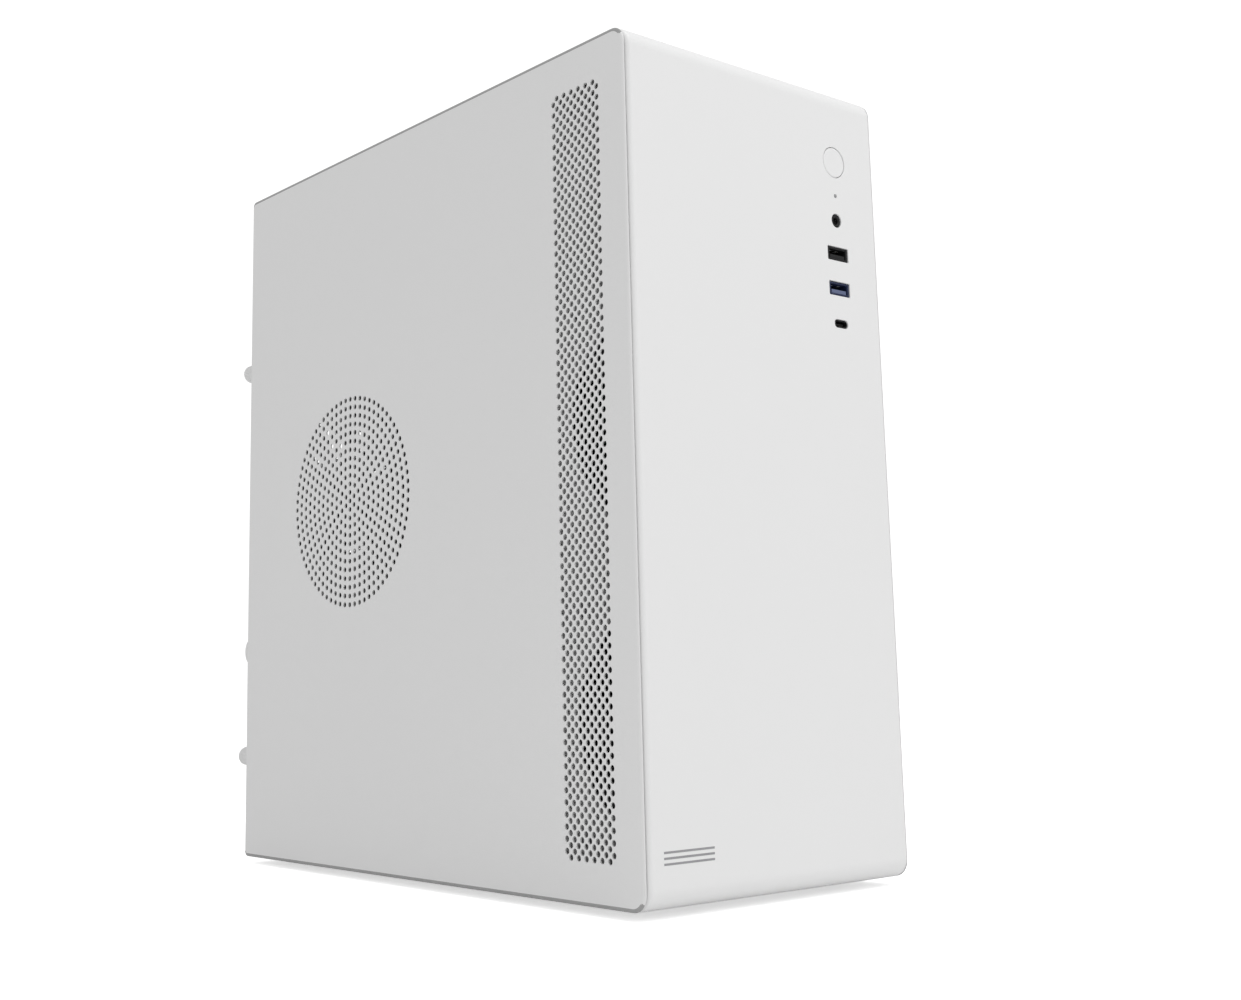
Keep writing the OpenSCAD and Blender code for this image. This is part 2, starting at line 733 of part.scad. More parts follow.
module left_upper_thumbscrew() {
    color(WHITE) thumbscrew(-1, thumb_heights[1]);
}

module left_lower_thumbscrew() {
    color(WHITE) thumbscrew(-1, thumb_heights[0]);
}

module right_upper_thumbscrew() {
    color(WHITE) thumbscrew(1, thumb_heights[1]);
}

module right_lower_thumbscrew() {
    color(WHITE) thumbscrew(1, thumb_heights[0]);
}

// ---- Front ----

module bezel_form(inset, back_y) {
    r = max(bezel_r - inset, 0.5);
    side_r = max(bezel_side_r - inset, 0.2);
    x = bezel_x - inset;
    y = front_y + inset;
    intersection() {
        sheet_x(-x, 2 * x) side_outline([y, base_z + inset], [back_y, top_z - inset], r, 0);
        translate([0, 0, base_z]) linear_extrude(height = case_h) {
            translate([side_r - x, y]) square([2 * (x - side_r), back_y - y]);
            translate([-x, y + side_r]) square([2 * x, back_y - y - side_r]);
            for (s = [-1, 1]) translate([s * (x - side_r), y + side_r]) circle(r = side_r);
        }
    }
}

module front_bezel() {
    color(WHITE) difference() {
        union() {
            difference() {
                bezel_form(0, front_y + bezel_d);
                bezel_form(bezel_t, front_y + bezel_d + 1);
            }
            for (z = pin_zs) for (s = [-1, 1])
                rod_y([s * (bezel_x - pin_inset), front_y + bezel_t / 2, z],
                      pin_d, bezel_d + 5 - bezel_t / 2);
            rod_y([column_x, front_y + bezel_t / 2, button_z], button_d + 5, boss_l);
        }
        rod_y([column_x, front_y - 1, button_z], button_d + 2 * button_gap, 10);
        rod_y([column_x, front_y - 1, light_z], light_d, 6);
        rod_y([column_x, front_y - 1, jack_z], jack_d + 2 * port_gap, 6);
        for (z = [usb_z, usb_fast_z])
            block([column_x - usb_w / 2 - port_gap, front_y - 1, z - usb_h / 2 - port_gap],
                  [column_x + usb_w / 2 + port_gap, front_y + 5, z + usb_h / 2 + port_gap]);
        oval_y([column_x, front_y - 1, usb_c_z],
               [usb_c_w + 2 * port_gap, usb_c_h + 2 * port_gap], 6);
    }
}

// Round cap with a lip behind the front and a stem to the switch
module power_button() {
    lip_y = front_y + bezel_t / 2 + boss_l + 0.4;
    color(WHITE) {
        rod_y([column_x, front_y + 0.1, button_z], button_d, lip_y - front_y - 0.1);
        rod_y([column_x, lip_y, button_z], button_d + 3, 1.2);
        rod_y([column_x, lip_y + 1.2, button_z], 5, plunger_y - plunger_gap - lip_y - 1.2);
    }
}

module status_light() {
    color("white") rod_y([column_x, front_y, light_z], light_d, io_board_y - front_y - 1);
}

module front_port_board() {
    z0 = usb_c_z - 26;
    z1 = button_z + 14;
    color(GREEN) difference() {
        block([column_x - io_board_w / 2, io_board_y, z0],
              [column_x + io_board_w / 2, io_board_y + io_board_t, z1]);
        rod_y([column_x, io_board_y - 1, usb_c_z - 18], 4, 4);
    }
    color(BRASS) for (z = [z0 + 3, z1 - 3]) for (s = [-1, 1])
        rod_y([column_x + s * (io_board_w / 2 - 3), io_board_y + io_board_t, z],
              4.4, frame_y0 - io_board_y - io_board_t);
}

module power_switch() {
    color(BLACK) difference() {
        block([column_x - switch_w / 2, switch_y, button_z - switch_w / 2],
              [column_x + switch_w / 2, io_board_y, button_z + switch_w / 2]);
        rod_y([column_x, switch_y - 1, button_z], plunger_d + 0.3, plunger_in + button_travel + 1.3);
    }
}

module switch_plunger() {
    color("dimgray") rod_y([column_x, plunger_y, button_z], plunger_d, plunger_out + plunger_in);
}

module audio_jack() {
    color(BLACK) difference() {
        union() {
            rod_y([column_x, port_y, jack_z], jack_d, io_board_y - port_y);
            block([column_x - 4.5, front_y + 6, jack_z - 4.5], [column_x + 4.5, io_board_y, jack_z + 4.5]);
        }
        rod_y([column_x, port_y - 1, jack_z], jack_bore, 13);
    }
}

// Housing of a flat port with its contact tongue in the lower half
module flat_port(z, tongue_c) {
    cavity = [12.5, 4.9];
    difference() {
        block([column_x - usb_w / 2, port_y, z - usb_h / 2],
              [column_x + usb_w / 2, io_board_y, z + usb_h / 2]);
        block([column_x - cavity[0] / 2, port_y - 1, z - cavity[1] / 2],
              [column_x + cavity[0] / 2, port_y + port_depth, z + cavity[1] / 2]);
    }
    color(tongue_c) block([column_x - 5.6, port_y + 1.2, z - cavity[1] / 2],
                          [column_x + 5.6, port_y + port_depth, z - 0.4]);
}

module usb_port_black() {
    color(BLACK) flat_port(usb_z, BLACK);
}

module usb_port_blue() {
    color(BLUE) flat_port(usb_fast_z, BLUE);
}

module usb_c_port() {
    color(BLACK) {
        difference() {
            oval_y([column_x, port_y, usb_c_z], [usb_c_w, usb_c_h], io_board_y - port_y);
            oval_y([column_x, port_y - 1, usb_c_z], [8.4, 2.6], 9);
        }
        block([column_x - 3.3, port_y + 1.5, usb_c_z - 0.35],
              [column_x + 3.3, port_y + 8.5, usb_c_z + 0.35]);
    }
}

front_plug_z = usb_c_z - 18;

module front_cable() {
    plug_y = frame_y0 + 3;
    end_z = board_z0 + 16;
    color(BLACK) {
        block([column_x - 4, io_board_y + io_board_t, front_plug_z - 3],
              [column_x + 4, plug_y, front_plug_z + 3]);
        cable([[column_x, plug_y, front_plug_z], [column_x, plug_y + 8, front_plug_z - 2],
               [column_x + 3, plug_y + 18, front_plug_z - 20], [cable_slot_x, wall_y - 8, base_z + 166],
               [cable_slot_x, wall_y + 10, base_z + 120], [cable_slot_x - 4, board_y0 - 14, base_z + 80],
               [board_x0 - 12, board_y0 - 4, end_z + 8], [board_x0 - 21, board_y0 + 4, end_z + 2],
               [board_x0 - 11, board_y0 + 8, end_z]], [5, 5], [1, -1, 0]);
        block([board_x0 - 12, board_y0 + 5, end_z - 10], [board_x0, board_y0 + 11, end_z + 10]);
    }
}

// ---- Main board and what is on it ----

module standoffs() {
    color(BRASS) for (p = hole_ps) difference() {
        union() {
            rod_x([board_x1, p[0], p[1]], standoff_d, standoff_h);
            rod_x([board_x1 + standoff_h, p[0], p[1]], screw_d, sheet_t);
        }
        rod_x([board_x1 - 1, p[0], p[1]], screw_d, standoff_h - 1);
    }
}

module main_board() {
    color(GREEN) difference() {
        block([board_x0, board_y0, board_z0], [board_x1, board_y1, board_z1]);
        for (p = hole_ps) rod_x([board_x0 - 1, p[0], p[1]], board_hole_d, board_t + 2);
    }
}

module board_screws() {
    color(SILVER) for (p = hole_ps) {
        rod_x([board_x0 - 2, p[0], p[1]], 6, 2);
        rod_x([board_x0, p[0], p[1]], screw_d, board_t + 4);
    }
}

// Sockets on the board's back edge: offset below the board's top, height above it, width
port_rows = [[17, 30, 15], [42, 16, 18], [66, 30, 17], [92, 30, 17], [124, 36, 13]];

module rear_ports() {
    for (i = [0:len(port_rows) - 1]) {
        r = port_rows[i];
        z = board_z1 - r[0];
        x0 = board_x0 - r[1];
        color(i == len(port_rows) - 1 ? BLACK : SILVER) difference() {
            block([x0, board_y1 - 18, z - r[2] / 2], [board_x0, frame_y1 + 0.4, z + r[2] / 2]);
            if (i == len(port_rows) - 1) {
                for (k = [0:2]) rod_y([x0 + 6 + k * 12, frame_y1 - 12, z], jack_bore, 14);
            } else if (r[1] > 20) {
                for (k = [0:1]) block([x0 + 3 + k * 14, frame_y1 - 10, z - r[2] / 2 + 1.5],
                                      [x0 + 10 + k * 14, frame_y1 + 1, z + r[2] / 2 - 1.5]);
            } else {
                block([x0 + 2, frame_y1 - 8, z - r[2] / 2 + 1.5],
                      [board_x0 - 8, frame_y1 + 1, z + r[2] / 2 - 1.5]);
            }
        }
    }
}

module io_shield() {
    y0 = frame_y1 - sheet_t;
    color(SILVER) difference() {
        union() {
            block([io_x0 + 0.1, y0, io_z0 + 0.1], [io_x1 - 0.1, y0 + 0.5, io_z1 - 0.1]);
            block([io_x0 - 1.5, y0 - 0.4, io_z0 - 1.5], [io_x1 + 1.5, y0, io_z1 + 1.5]);
        }
        for (r = port_rows)
            block([board_x0 - r[1] - 0.4, y0 - 1, board_z1 - r[0] - r[2] / 2 - 0.4],
                  [board_x0 + 0.4, y0 + 2, board_z1 - r[0] + r[2] / 2 + 0.4]);
    }
}

module cpu_socket() {
    half = socket_w / 2;
    color(SILVER) difference() {
        block([board_x0 - socket_t, cpu_y - half, cpu_z - half], [board_x0, cpu_y + half, cpu_z + half]);
        block([board_x0 - socket_t - 1, cpu_y - half + 6, cpu_z - half + 6],
              [board_x0 - 2.6, cpu_y + half - 6, cpu_z + half - 6]);
    }
}

module processor() {
    chip = socket_w / 2 - 6.2;
    lid = socket_w / 2 - 10;
    color(GREEN)
        block([board_x0 - 4.2, cpu_y - chip, cpu_z - chip], [board_x0 - 2.6, cpu_y + chip, cpu_z + chip]);
    color(SILVER) block([sink_x1, cpu_y - lid, cpu_z - lid], [board_x0 - 4.2, cpu_y + lid, cpu_z + lid]);
}

fin_count = 21;

module heat_sink() {
    half = sink_w / 2;
    post = half - 4;
    color(SILVER) {
        block([sink_x1 - sink_base_t, cpu_y - half, cpu_z - half], [sink_x1, cpu_y + half, cpu_z + half]);
        for (i = [0:fin_count - 1])
            block([sink_x0, cpu_y - half + i * (sink_w - 1.2) / (fin_count - 1), cpu_z - half],
                  [sink_x1 - sink_base_t, cpu_y - half + i * (sink_w - 1.2) / (fin_count - 1) + 1.2,
                   cpu_z + half]);
        for (y = [-post, post]) for (z = [-post, post])
            rod_x([sink_x1, cpu_y + y, cpu_z + z], 6, board_x0 - sink_x1);
    }
}

// Puts a fan's flow along the board's normal, with its open side towards the panel
module at_cpu_fan() {
    translate([sink_x0, cpu_y, cpu_z]) rotate([0, -90, 0]) children();
}

module cpu_fan_frame() {
    color(BLACK) at_cpu_fan() fan_frame(cpu_fan_w, cpu_fan_t, cpu_hub_d);
}

module cpu_fan_rotor() {
    color("dimgray") at_cpu_fan() fan_rotor(cpu_fan_w, cpu_fan_t, cpu_hub_d, 7);
}

module memory_sockets() {
    color(BLACK) for (i = [0, 1]) difference() {
        y = memory_y + i * memory_pitch;
        block([board_x0 - 8, y - 3.2, memory_z - 5], [board_x0, y + 3.2, memory_z + 138]);
        block([board_x0 - 9, y - 0.8, memory_z], [board_x0 - 2.5, y + 0.8, memory_z + 133]);
    }
}

module memory_modules() {
    for (i = [0, 1]) {
        y = memory_y + i * memory_pitch;
        color(GREEN) block([board_x0 - 2.5 - memory_h, y - 0.6, memory_z + 0.2],
                           [board_x0 - 2.5, y + 0.6, memory_z + 132.8]);
        color(BLACK) for (k = [0:7]) block([board_x0 - memory_h + 4, y - 1.6, memory_z + 5 + k * 16],
                                           [board_x0 - memory_h + 15, y - 0.6, memory_z + 14 + k * 16]);
    }
}

module card_connectors() {
    lengths = [89, 25, 25, 89];
    color(BLACK) for (i = [0:slot_count - 1]) difference() {
        z = slot_z0 - i * slot_pitch;
        block([board_x0 - 11, board_y1 - 46 - lengths[i], z - 3.6], [board_x0, board_y1 - 46, z + 3.6]);
        block([board_x0 - 12, board_y1 - 44.5 - lengths[i], z - 0.9],
              [board_x0 - 3, board_y1 - 47.5, z + 0.9]);
    }
}

main_plug_z = board_z1 - 82;
cpu_plug_y = board_y1 - 70;

chip_y = board_y0 + 30;
chip_z = board_z0 + 54;
chip_w = 38;

// Power sockets, chipset sink, capacitors, coils, cell and drive sockets
module board_parts() {
    color("beige")
        block([board_x0 - 12, board_y0 + 3, main_plug_z - 26], [board_x0, board_y0 + 12, main_plug_z + 26]);
    color(BLACK)
        block([board_x0 - 12, cpu_plug_y - 9, board_z1 - 13], [board_x0, cpu_plug_y + 9, board_z1 - 3]);
    color(SILVER) {
        block([board_x0 - 2, chip_y, chip_z], [board_x0, chip_y + chip_w, chip_z + chip_w]);
        for (i = [0:6])
            block([board_x0 - 12, chip_y + i * 6, chip_z],
                  [board_x0 - 2, chip_y + i * 6 + 2, chip_z + chip_w]);
        rod_x([board_x0 - 4, board_y1 - 93, slot_z0 - 1.5 * slot_pitch], 20, 4);
    }
    for (i = [0:5]) {
        color("dimgray") rod_x([board_x0 - 10, cpu_y + 54, cpu_z - 28 + i * 12], 7, 10);
        color("gray") block([board_x0 - 6, cpu_y + 60, cpu_z - 33 + i * 12],
                            [board_x0, cpu_y + 69, cpu_z - 24 + i * 12]);
    }
    color(BLACK) for (z = [board_z0 + 41, board_z0 + 57])
        block([board_x0 - 9, board_y0 + 1, z], [board_x0, board_y0 + 17, z + 14]);
}

// ---- Expansion slots ----

tab_t = 0.8;
tab_x = slot_x0 - tab_t;

module slot_covers() {
    y1 = frame_y1 - sheet_t;
    color(STEEL) for (i = [0:slot_count - 1]) difference() {
        z = slot_z0 - i * slot_pitch;
        union() {
            block([tab_x, y1 - tab_t, z - bracket_w / 2], [board_x1 - 2, y1, z + bracket_w / 2]);
            block([tab_x, y1 - tab_t, z - slot_w / 2 + 0.3], [slot_x0, shelf_y1, z + slot_w / 2 - 0.3]);
        }
        rod_x([tab_x - 1, frame_y1 + shelf_out / 2, z], screw_d + 0.2, 3);
    }
}

clamp_gap = 0.4;
clamp_depth = 8;
clamp_z0 = slot_low - slot_pitch / 2 - 4;
clamp_screw_x = slot_x0 - 4;
clamp_screw_z = clamp_top + 1;

// Cover over the slot tabs, held by one screw
module slot_clamp() {
    x0 = tab_x - clamp_depth;
    y0 = frame_y1 + clamp_gap;
    y1 = shelf_y1 + clamp_gap + sheet_t;
    z1 = clamp_screw_z + 7;
    color(WHITE) {
        block([x0, y0, clamp_z0], [slot_x0 + 8, y1, clamp_z0 + sheet_t]);
        block([x0, y0, clamp_z0], [x0 + sheet_t, y1, z1]);
        difference() {
            block([x0, y1 - sheet_t, clamp_z0], [slot_x0 + 8, y1, z1]);
            rod_y([clamp_screw_x, y1 - 3, clamp_screw_z], screw_d + 0.8, 4);
        }
    }
}

module clamp_screw() {
    y1 = shelf_y1 + clamp_gap + sheet_t;
    color(SILVER) {
        rod_y([clamp_screw_x, y1, clamp_screw_z], 7, 1.2);
        rod_y([clamp_screw_x, frame_y1 - 4, clamp_screw_z], screw_d, y1 - frame_y1 + 4);
    }
}

// ---- Power supply ----

module psu_case() {
    hi = [psu_x0 + psu_w, psu_y1, psu_z1];
    t = [psu_t, psu_t, psu_t];
    color("gray") difference() {
        block([psu_x0, psu_y0, psu_z0], hi);
        block([psu_x0, psu_y0, psu_z0] + t, hi - t);
        rod_z([psu_mid[0], psu_mid[1], psu_z0 - 1], psu_fan_w - 6, 3);
        for (p = psu_screws) rod_y([psu_x0 + p[0], psu_y1 - 3, psu_z0 + p[1]], screw_d, 4);
        for (i = [0:9]) for (k = [0:6])
            rod_y([psu_x0 + 18 + i * 8.4 + (k % 2) * 4.2, psu_y1 - 3, psu_z0 + 17 + k * 8], 6, 4,
                  $fn = HOLE_FN);
        block([inlet_x - inlet_size[0] / 2, psu_y1 - 3, inlet_z - inlet_size[1] / 2],
              [inlet_x + inlet_size[0] / 2, psu_y1 + 1, inlet_z + inlet_size[1] / 2]);
        block([inlet_x - rocker_size[1] / 2 - 1.5, psu_y1 - 3, rocker_z - rocker_size[0] / 2 - 1.5],
              [inlet_x + rocker_size[1] / 2 + 1.5, psu_y1 + 1, rocker_z + rocker_size[0] / 2 + 1.5]);
        rod_y([psu_x0 + psu_w - 26, psu_y0 - 1, psu_z0 + 50], 20, 3);
    }
}

module psu_circuit() {
    z0 = psu_z1 - 8;
    lo = [psu_x0 + 5, psu_y0 + 6];
    color(GREEN) block([lo[0], lo[1], z0], [psu_x0 + psu_w - 46, psu_y1 - 8, z0 + 1.6]);
    for (x = [lo[0] + 4, lo[0] + 12, psu_x0 + psu_w - 54]) color("dimgray")
        rod_z([x, lo[1] + 8, z0 + 1.6], 6, psu_z1 - psu_t - z0 - 1.6);
    color(SILVER) for (s = [0, 1])
        block([lo[0] + 20 + s * 40, lo[1] + 16, z0 - 32], [lo[0] + 23 + s * 40, psu_y1 - 22, z0]);
    color("gold") block([lo[0] + 30, psu_mid[1] - 16, z0 - 28], [lo[0] + 54, psu_mid[1] + 16, z0]);
    color(BLACK) for (i = [0:1]) rod_z([lo[0] + 10, psu_mid[1] + 10 + i * 26, z0 - 30], 18, 30);
}

module psu_fan_frame() {
    color(BLACK) translate([psu_mid[0], psu_mid[1], psu_z0 + psu_t]) fan_frame(psu_fan_w, 25, hub_d);
}

module psu_fan_rotor() {
    color("dimgray") translate([psu_mid[0], psu_mid[1], psu_z0 + psu_t]) fan_rotor(psu_fan_w, 25, hub_d, 7);
}

// Flat rings under the fan, joined by two crossed bars that reach the case
module psu_fan_grille() {
    bar = 1.6;
    color(SILVER) translate([psu_mid[0], psu_mid[1], psu_z0 - bar]) {
        for (r = [14:8:psu_fan_w / 2 - 5]) difference() {
            cylinder(r = r + bar / 2, h = bar, $fn = 96);
            translate([0, 0, -1]) cylinder(r = r - bar / 2, h = bar + 2, $fn = 96);
        }
        for (a = [45, 135]) rotate(a)
            translate([-psu_fan_w / 2 + 2, -bar / 2, 0]) cube([psu_fan_w - 4, bar, bar]);
    }
}

module power_inlet() {
    half = inlet_size / 2;
    pin = [2, 4];
    color(BLACK) difference() {
        block([inlet_x - half[0], psu_y1 - 22, inlet_z - half[1]],
              [inlet_x + half[0], psu_y1 + sheet_t + 0.4, inlet_z + half[1]]);
        block([inlet_x - 12, psu_y1 - 16, inlet_z - 8.2], [inlet_x + 12, psu_y1 + 2, inlet_z + 8.2]);
    }
    color(SILVER) for (p = [[-7, -2], [0, 2.4], [7, -2]])
        block([inlet_x + p[0] - pin[0] / 2, psu_y1 - 16, inlet_z + p[1] - pin[1] / 2],
              [inlet_x + p[0] + pin[0] / 2, psu_y1 - 2, inlet_z + p[1] + pin[1] / 2]);
    color(BLACK) difference() {
        block([inlet_x - rocker_size[1] / 2 - 1.5, psu_y1 - 12, rocker_z - rocker_size[0] / 2 - 1.5],
              [inlet_x + rocker_size[1] / 2 + 1.5, psu_y1 + sheet_t + 0.2,
               rocker_z + rocker_size[0] / 2 + 1.5]);
        block([inlet_x - rocker_size[1] / 2, psu_y1 - 11, rocker_z - rocker_size[0] / 2],
              [inlet_x + rocker_size[1] / 2, psu_y1 + 2, rocker_z + rocker_size[0] / 2]);
        rod_z([inlet_x, psu_y1 - 4, rocker_z - rocker_size[0] / 2 - 1], 2.1, rocker_size[0] + 2);
    }
}

// Rocker on its own pins, lying at the off side when at rest
module switch_rocker() {
    color(BLACK) translate([inlet_x, psu_y1 - 4, rocker_z]) rotate(-rocker_deg) {
        intersection() {
            translate([-rocker_size[1] / 2 + 0.8, -2.5, -rocker_size[0] / 2 + 0.4])
                cube([rocker_size[1] - 1.6, 7, rocker_size[0] - 0.8]);
            translate([0, -21, -rocker_size[0]]) cylinder(r = 26, h = 2 * rocker_size[0], $fn = 96);
        }
        translate([0, 0, -rocker_size[0] / 2 - 0.6]) cylinder(d = 2, h = rocker_size[0] + 1.2);
    }
}

// ---- Case fans, screws and drives ----

module at_front_fan() {
    translate([front_fan_x, front_fan_y + front_fan_t, front_fan_z]) rotate([90, 0, 0]) children();
}

module front_fan_frame() {
    color(BLACK) at_front_fan() fan_frame(front_fan_w, front_fan_t, hub_d);
}

module front_fan_rotor() {
    color("dimgray") at_front_fan() fan_rotor(front_fan_w, front_fan_t, hub_d, 9);
}

module at_rear_fan() {
    translate([rear_fan_x, rear_fan_y + rear_fan_t, rear_fan_z]) rotate([90, 0, 0]) children();
}

module rear_fan_frame() {
    color(BLACK) at_rear_fan() fan_frame(rear_fan_w, rear_fan_t, hub_d);
}

module rear_fan_rotor() {
    color("dimgray") at_rear_fan() fan_rotor(rear_fan_w, rear_fan_t, hub_d, 9);
}

// Screw driven in along Y: s = 1 has its head behind the panel, s = -1 in front of the wall
module screw_y(p, s) {
    head_d = 7;
    head_h = 1.8;
    shank = 8;
    rod_y([p[0], p[1] - (s > 0 ? 0 : head_h), p[2]], head_d, head_h);
    rod_y([p[0], p[1] - (s > 0 ? shank : 0), p[2]], screw_d, shank);
}

module machine_screws() {
    color(SILVER) {
        for (p = fan_corners(front_fan_w)) screw_y([front_fan_x + p[0], wall_y, front_fan_z + p[1]], -1);
        for (p = fan_corners(rear_fan_w)) screw_y([rear_fan_x + p[0], frame_y1, rear_fan_z + p[1]], 1);
        for (p = psu_screws) screw_y([psu_x0 + p[0], frame_y1, psu_z0 + p[1]], 1);
        for (i = [0:slot_count - 1]) {
            z = slot_z0 - i * slot_pitch;
            rod_x([tab_x - 2, frame_y1 + shelf_out / 2, z], 6, 2);
            rod_x([tab_x, frame_y1 + shelf_out / 2, z], screw_d, tab_t);
        }
        for (y = drive_screw_ys) {
            rod_x([cage_x0 - 2, y, drive_z0 + 6.5], 6, 2);
            rod_x([cage_x0, y, drive_z0 + 6.5], screw_d, sheet_t + cage_gap);
            rod_x([cage_x1, y, drive_z0 + 6.5], 6, 2);
            rod_x([cage_x1 - sheet_t - cage_gap, y, drive_z0 + 6.5], screw_d, sheet_t + cage_gap);
        }
        for (p = ssd_screws) {
            rod_x([tray_x - sheet_t - 1.5, p[0], p[1]], 5.5, 1.5);
            rod_x([tray_x - sheet_t, p[0], p[1]], screw_d, sheet_t);
        }
    }
}

module hard_drive() {
    lo = [drive_x0, drive_y0, drive_z0];
    hi = lo + drive_size;
    color(SILVER) {
        block(lo, [hi[0], hi[1], hi[2] - 1.5]);
        block([lo[0] + 2, lo[1] + 2, hi[2] - 1.5], [hi[0] - 2, hi[1] - 2, hi[2]]);
    }
    color(GREEN) block([lo[0] + 6, lo[1] + 8, lo[2] - 1.2], [hi[0] - 6, hi[1] - 50, lo[2]]);
    color(BLACK) block([lo[0] + 10, hi[1], lo[2] + 1], [lo[0] + 52, hi[1] + 3, lo[2] + 9]);
}

module solid_state_drive() {
    color(BLACK) block([tray_x, ssd_y, ssd_z], [tray_x, ssd_y, ssd_z] + ssd_size);
}

// Main, processor and drive leads, out of one bushing in the power supply
module power_cables() {
    out = [psu_x0 + psu_w - 26, psu_y0, psu_z0 + 50];
    main_end = [board_x0 - 29, board_y0 + 7.5, main_plug_z];
    cpu_end = [board_x0 - 23, cpu_plug_y, board_z1 - 8];
    drive_end = [drive_x0 + 31, drive_y0 + drive_l + 12, drive_z0 + 5];
    lead_y = drive_y0 + 43;
    lead_z = drive_z0 + drive_h + 12;
    color(BLACK) {
        rod_y(out + [0, -6, 0], 20, 6 + psu_t);
        block([board_x0 - 30, board_y0 + 3.5, main_plug_z - 25],
              [board_x0 - 12, board_y0 + 11.5, main_plug_z + 25]);
        block(cpu_end - [1, 8.5, 4.5], cpu_end + [11, 8.5, 4.5]);
        block(drive_end - [20, 9, 3.5], drive_end + [20, 0, 3.5]);
        cable([out + [-2, -5, -3], out + [-2, -16, -4], out + [-4, -34, -30],
               [board_x0 - 42, board_y0 + 16, main_plug_z + 60],
               [board_x0 - 48, board_y0 + 8, main_plug_z + 24],
               [board_x0 - 44, board_y0 + 7.5, main_plug_z], main_end], [7, 14], [1, 1, 0]);
        cable([out + [6, -5, 3], out + [6, -14, 2], out + [2, -20, -14], out + [-4, -10, -54],
               cpu_end + [-8, -26, 14], cpu_end + [-10, -6, 2], cpu_end], [5, 5], [1, -1, 0.4]);
        cable([out + [-6, -5, 4], out + [-8, -18, 3], out + [-22, -26, -20],
               [board_x0 - 66, lead_y, cpu_z + 30], [board_x0 - 74, lead_y, cpu_z - 80],
               [board_x0 - 84, lead_y + 8, lead_z + 16], [drive_end[0] + 16, lead_y + 44, lead_z],
               drive_end + [6, 14, 22], drive_end + [0, 10, 0], drive_end + [0, -1, 0]],
              [5, 5], [1, 0.4, 0.3]);
    }
}

base_plate();
top_plate();
front_frame();
front_wall();
rear_panel();
board_tray();
psu_shelf();
drive_cage();
frame_rivets();
feet();
lock_loop();
left_side_panel();
right_side_panel();
left_upper_thumbscrew();
left_lower_thumbscrew();
right_upper_thumbscrew();
right_lower_thumbscrew();
front_bezel();
power_button();
status_light();
front_port_board();
power_switch();
switch_plunger();
audio_jack();
usb_port_black();
usb_port_blue();
usb_c_port();
front_cable();
standoffs();
main_board();
board_screws();
io_shield();
rear_ports();
cpu_socket();
processor();
heat_sink();
cpu_fan_frame();
cpu_fan_rotor();
memory_sockets();
memory_modules();
card_connectors();
board_parts();
slot_covers();
slot_clamp();
clamp_screw();
psu_case();
psu_circuit();
psu_fan_frame();
psu_fan_rotor();
psu_fan_grille();
power_inlet();
switch_rocker();
rear_fan_frame();
rear_fan_rotor();
front_fan_frame();
front_fan_rotor();
machine_screws();
hard_drive();
solid_state_drive();
power_cables();
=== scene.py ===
"""Desktop computer tower: the finished outside and inside pieces, their finishes, and a studio stage."""
import json
import math

import bmesh
import bpy
from mathutils import Matrix, Vector


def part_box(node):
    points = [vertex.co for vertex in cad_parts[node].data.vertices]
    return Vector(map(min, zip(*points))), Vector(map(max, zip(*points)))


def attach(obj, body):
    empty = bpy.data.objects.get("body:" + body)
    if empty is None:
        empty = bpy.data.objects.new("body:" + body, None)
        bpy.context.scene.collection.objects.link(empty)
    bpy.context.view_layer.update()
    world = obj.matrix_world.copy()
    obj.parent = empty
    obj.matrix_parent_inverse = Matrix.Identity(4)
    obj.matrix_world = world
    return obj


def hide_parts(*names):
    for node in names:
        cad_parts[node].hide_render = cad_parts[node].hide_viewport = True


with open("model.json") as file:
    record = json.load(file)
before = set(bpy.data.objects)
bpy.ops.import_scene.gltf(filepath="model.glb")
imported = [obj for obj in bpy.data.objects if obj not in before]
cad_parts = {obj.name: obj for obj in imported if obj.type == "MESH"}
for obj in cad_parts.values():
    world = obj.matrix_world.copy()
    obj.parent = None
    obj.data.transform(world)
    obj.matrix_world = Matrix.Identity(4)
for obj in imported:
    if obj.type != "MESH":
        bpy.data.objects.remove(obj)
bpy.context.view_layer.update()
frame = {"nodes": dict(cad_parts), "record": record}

bl_info = {
    "name": "Computer tower",
    "version": (1, 0, 0),
    "blender": (4, 5, 0),
    "location": "View3D > Sidebar > Tower",
    "description": "Builds the pieces and finishes of a white computer tower over its CAD frame",
    "category": "Add Mesh",
}

NODES = frame["nodes"]
SLOT_OF = {part["node"]: part["material_slot"] for part in frame["record"]["subparts"]}
MM = 0.001

# Places and sizes that follow the CAD part, in metres
BEZEL_DEPTH = 0.018             # the front moulding, front to back
FRAME_BACK = 0.0186             # from the front face to the steel frame's first edge
FRAME_SHORT = 0.0012            # the frame stops this far before the panels' back edge
PIN_RADIUS, PIN_END = 0.0025, 0.0225
RIB_HEIGHTS, RIB_THICK = (0.06, 0.14, 0.22, 0.3), 0.0016
THUMB_INSET, THUMB_HOLE, THUMB_HEIGHTS = 0.0075, 0.002, (0.058, 0.296)
THUMB_HEAD = 0.014              # the thumbscrew's head, along its axis
LOCK_SLOT = (0.112, 0.13, 0.0036, 0.0072)
HOOK_HEIGHTS, HOOK_THICK = (0.0065, 0.0115), 0.005
USB_PITCH, PAD_PITCH = 0.0024, 0.0005


# ---- Settings ----

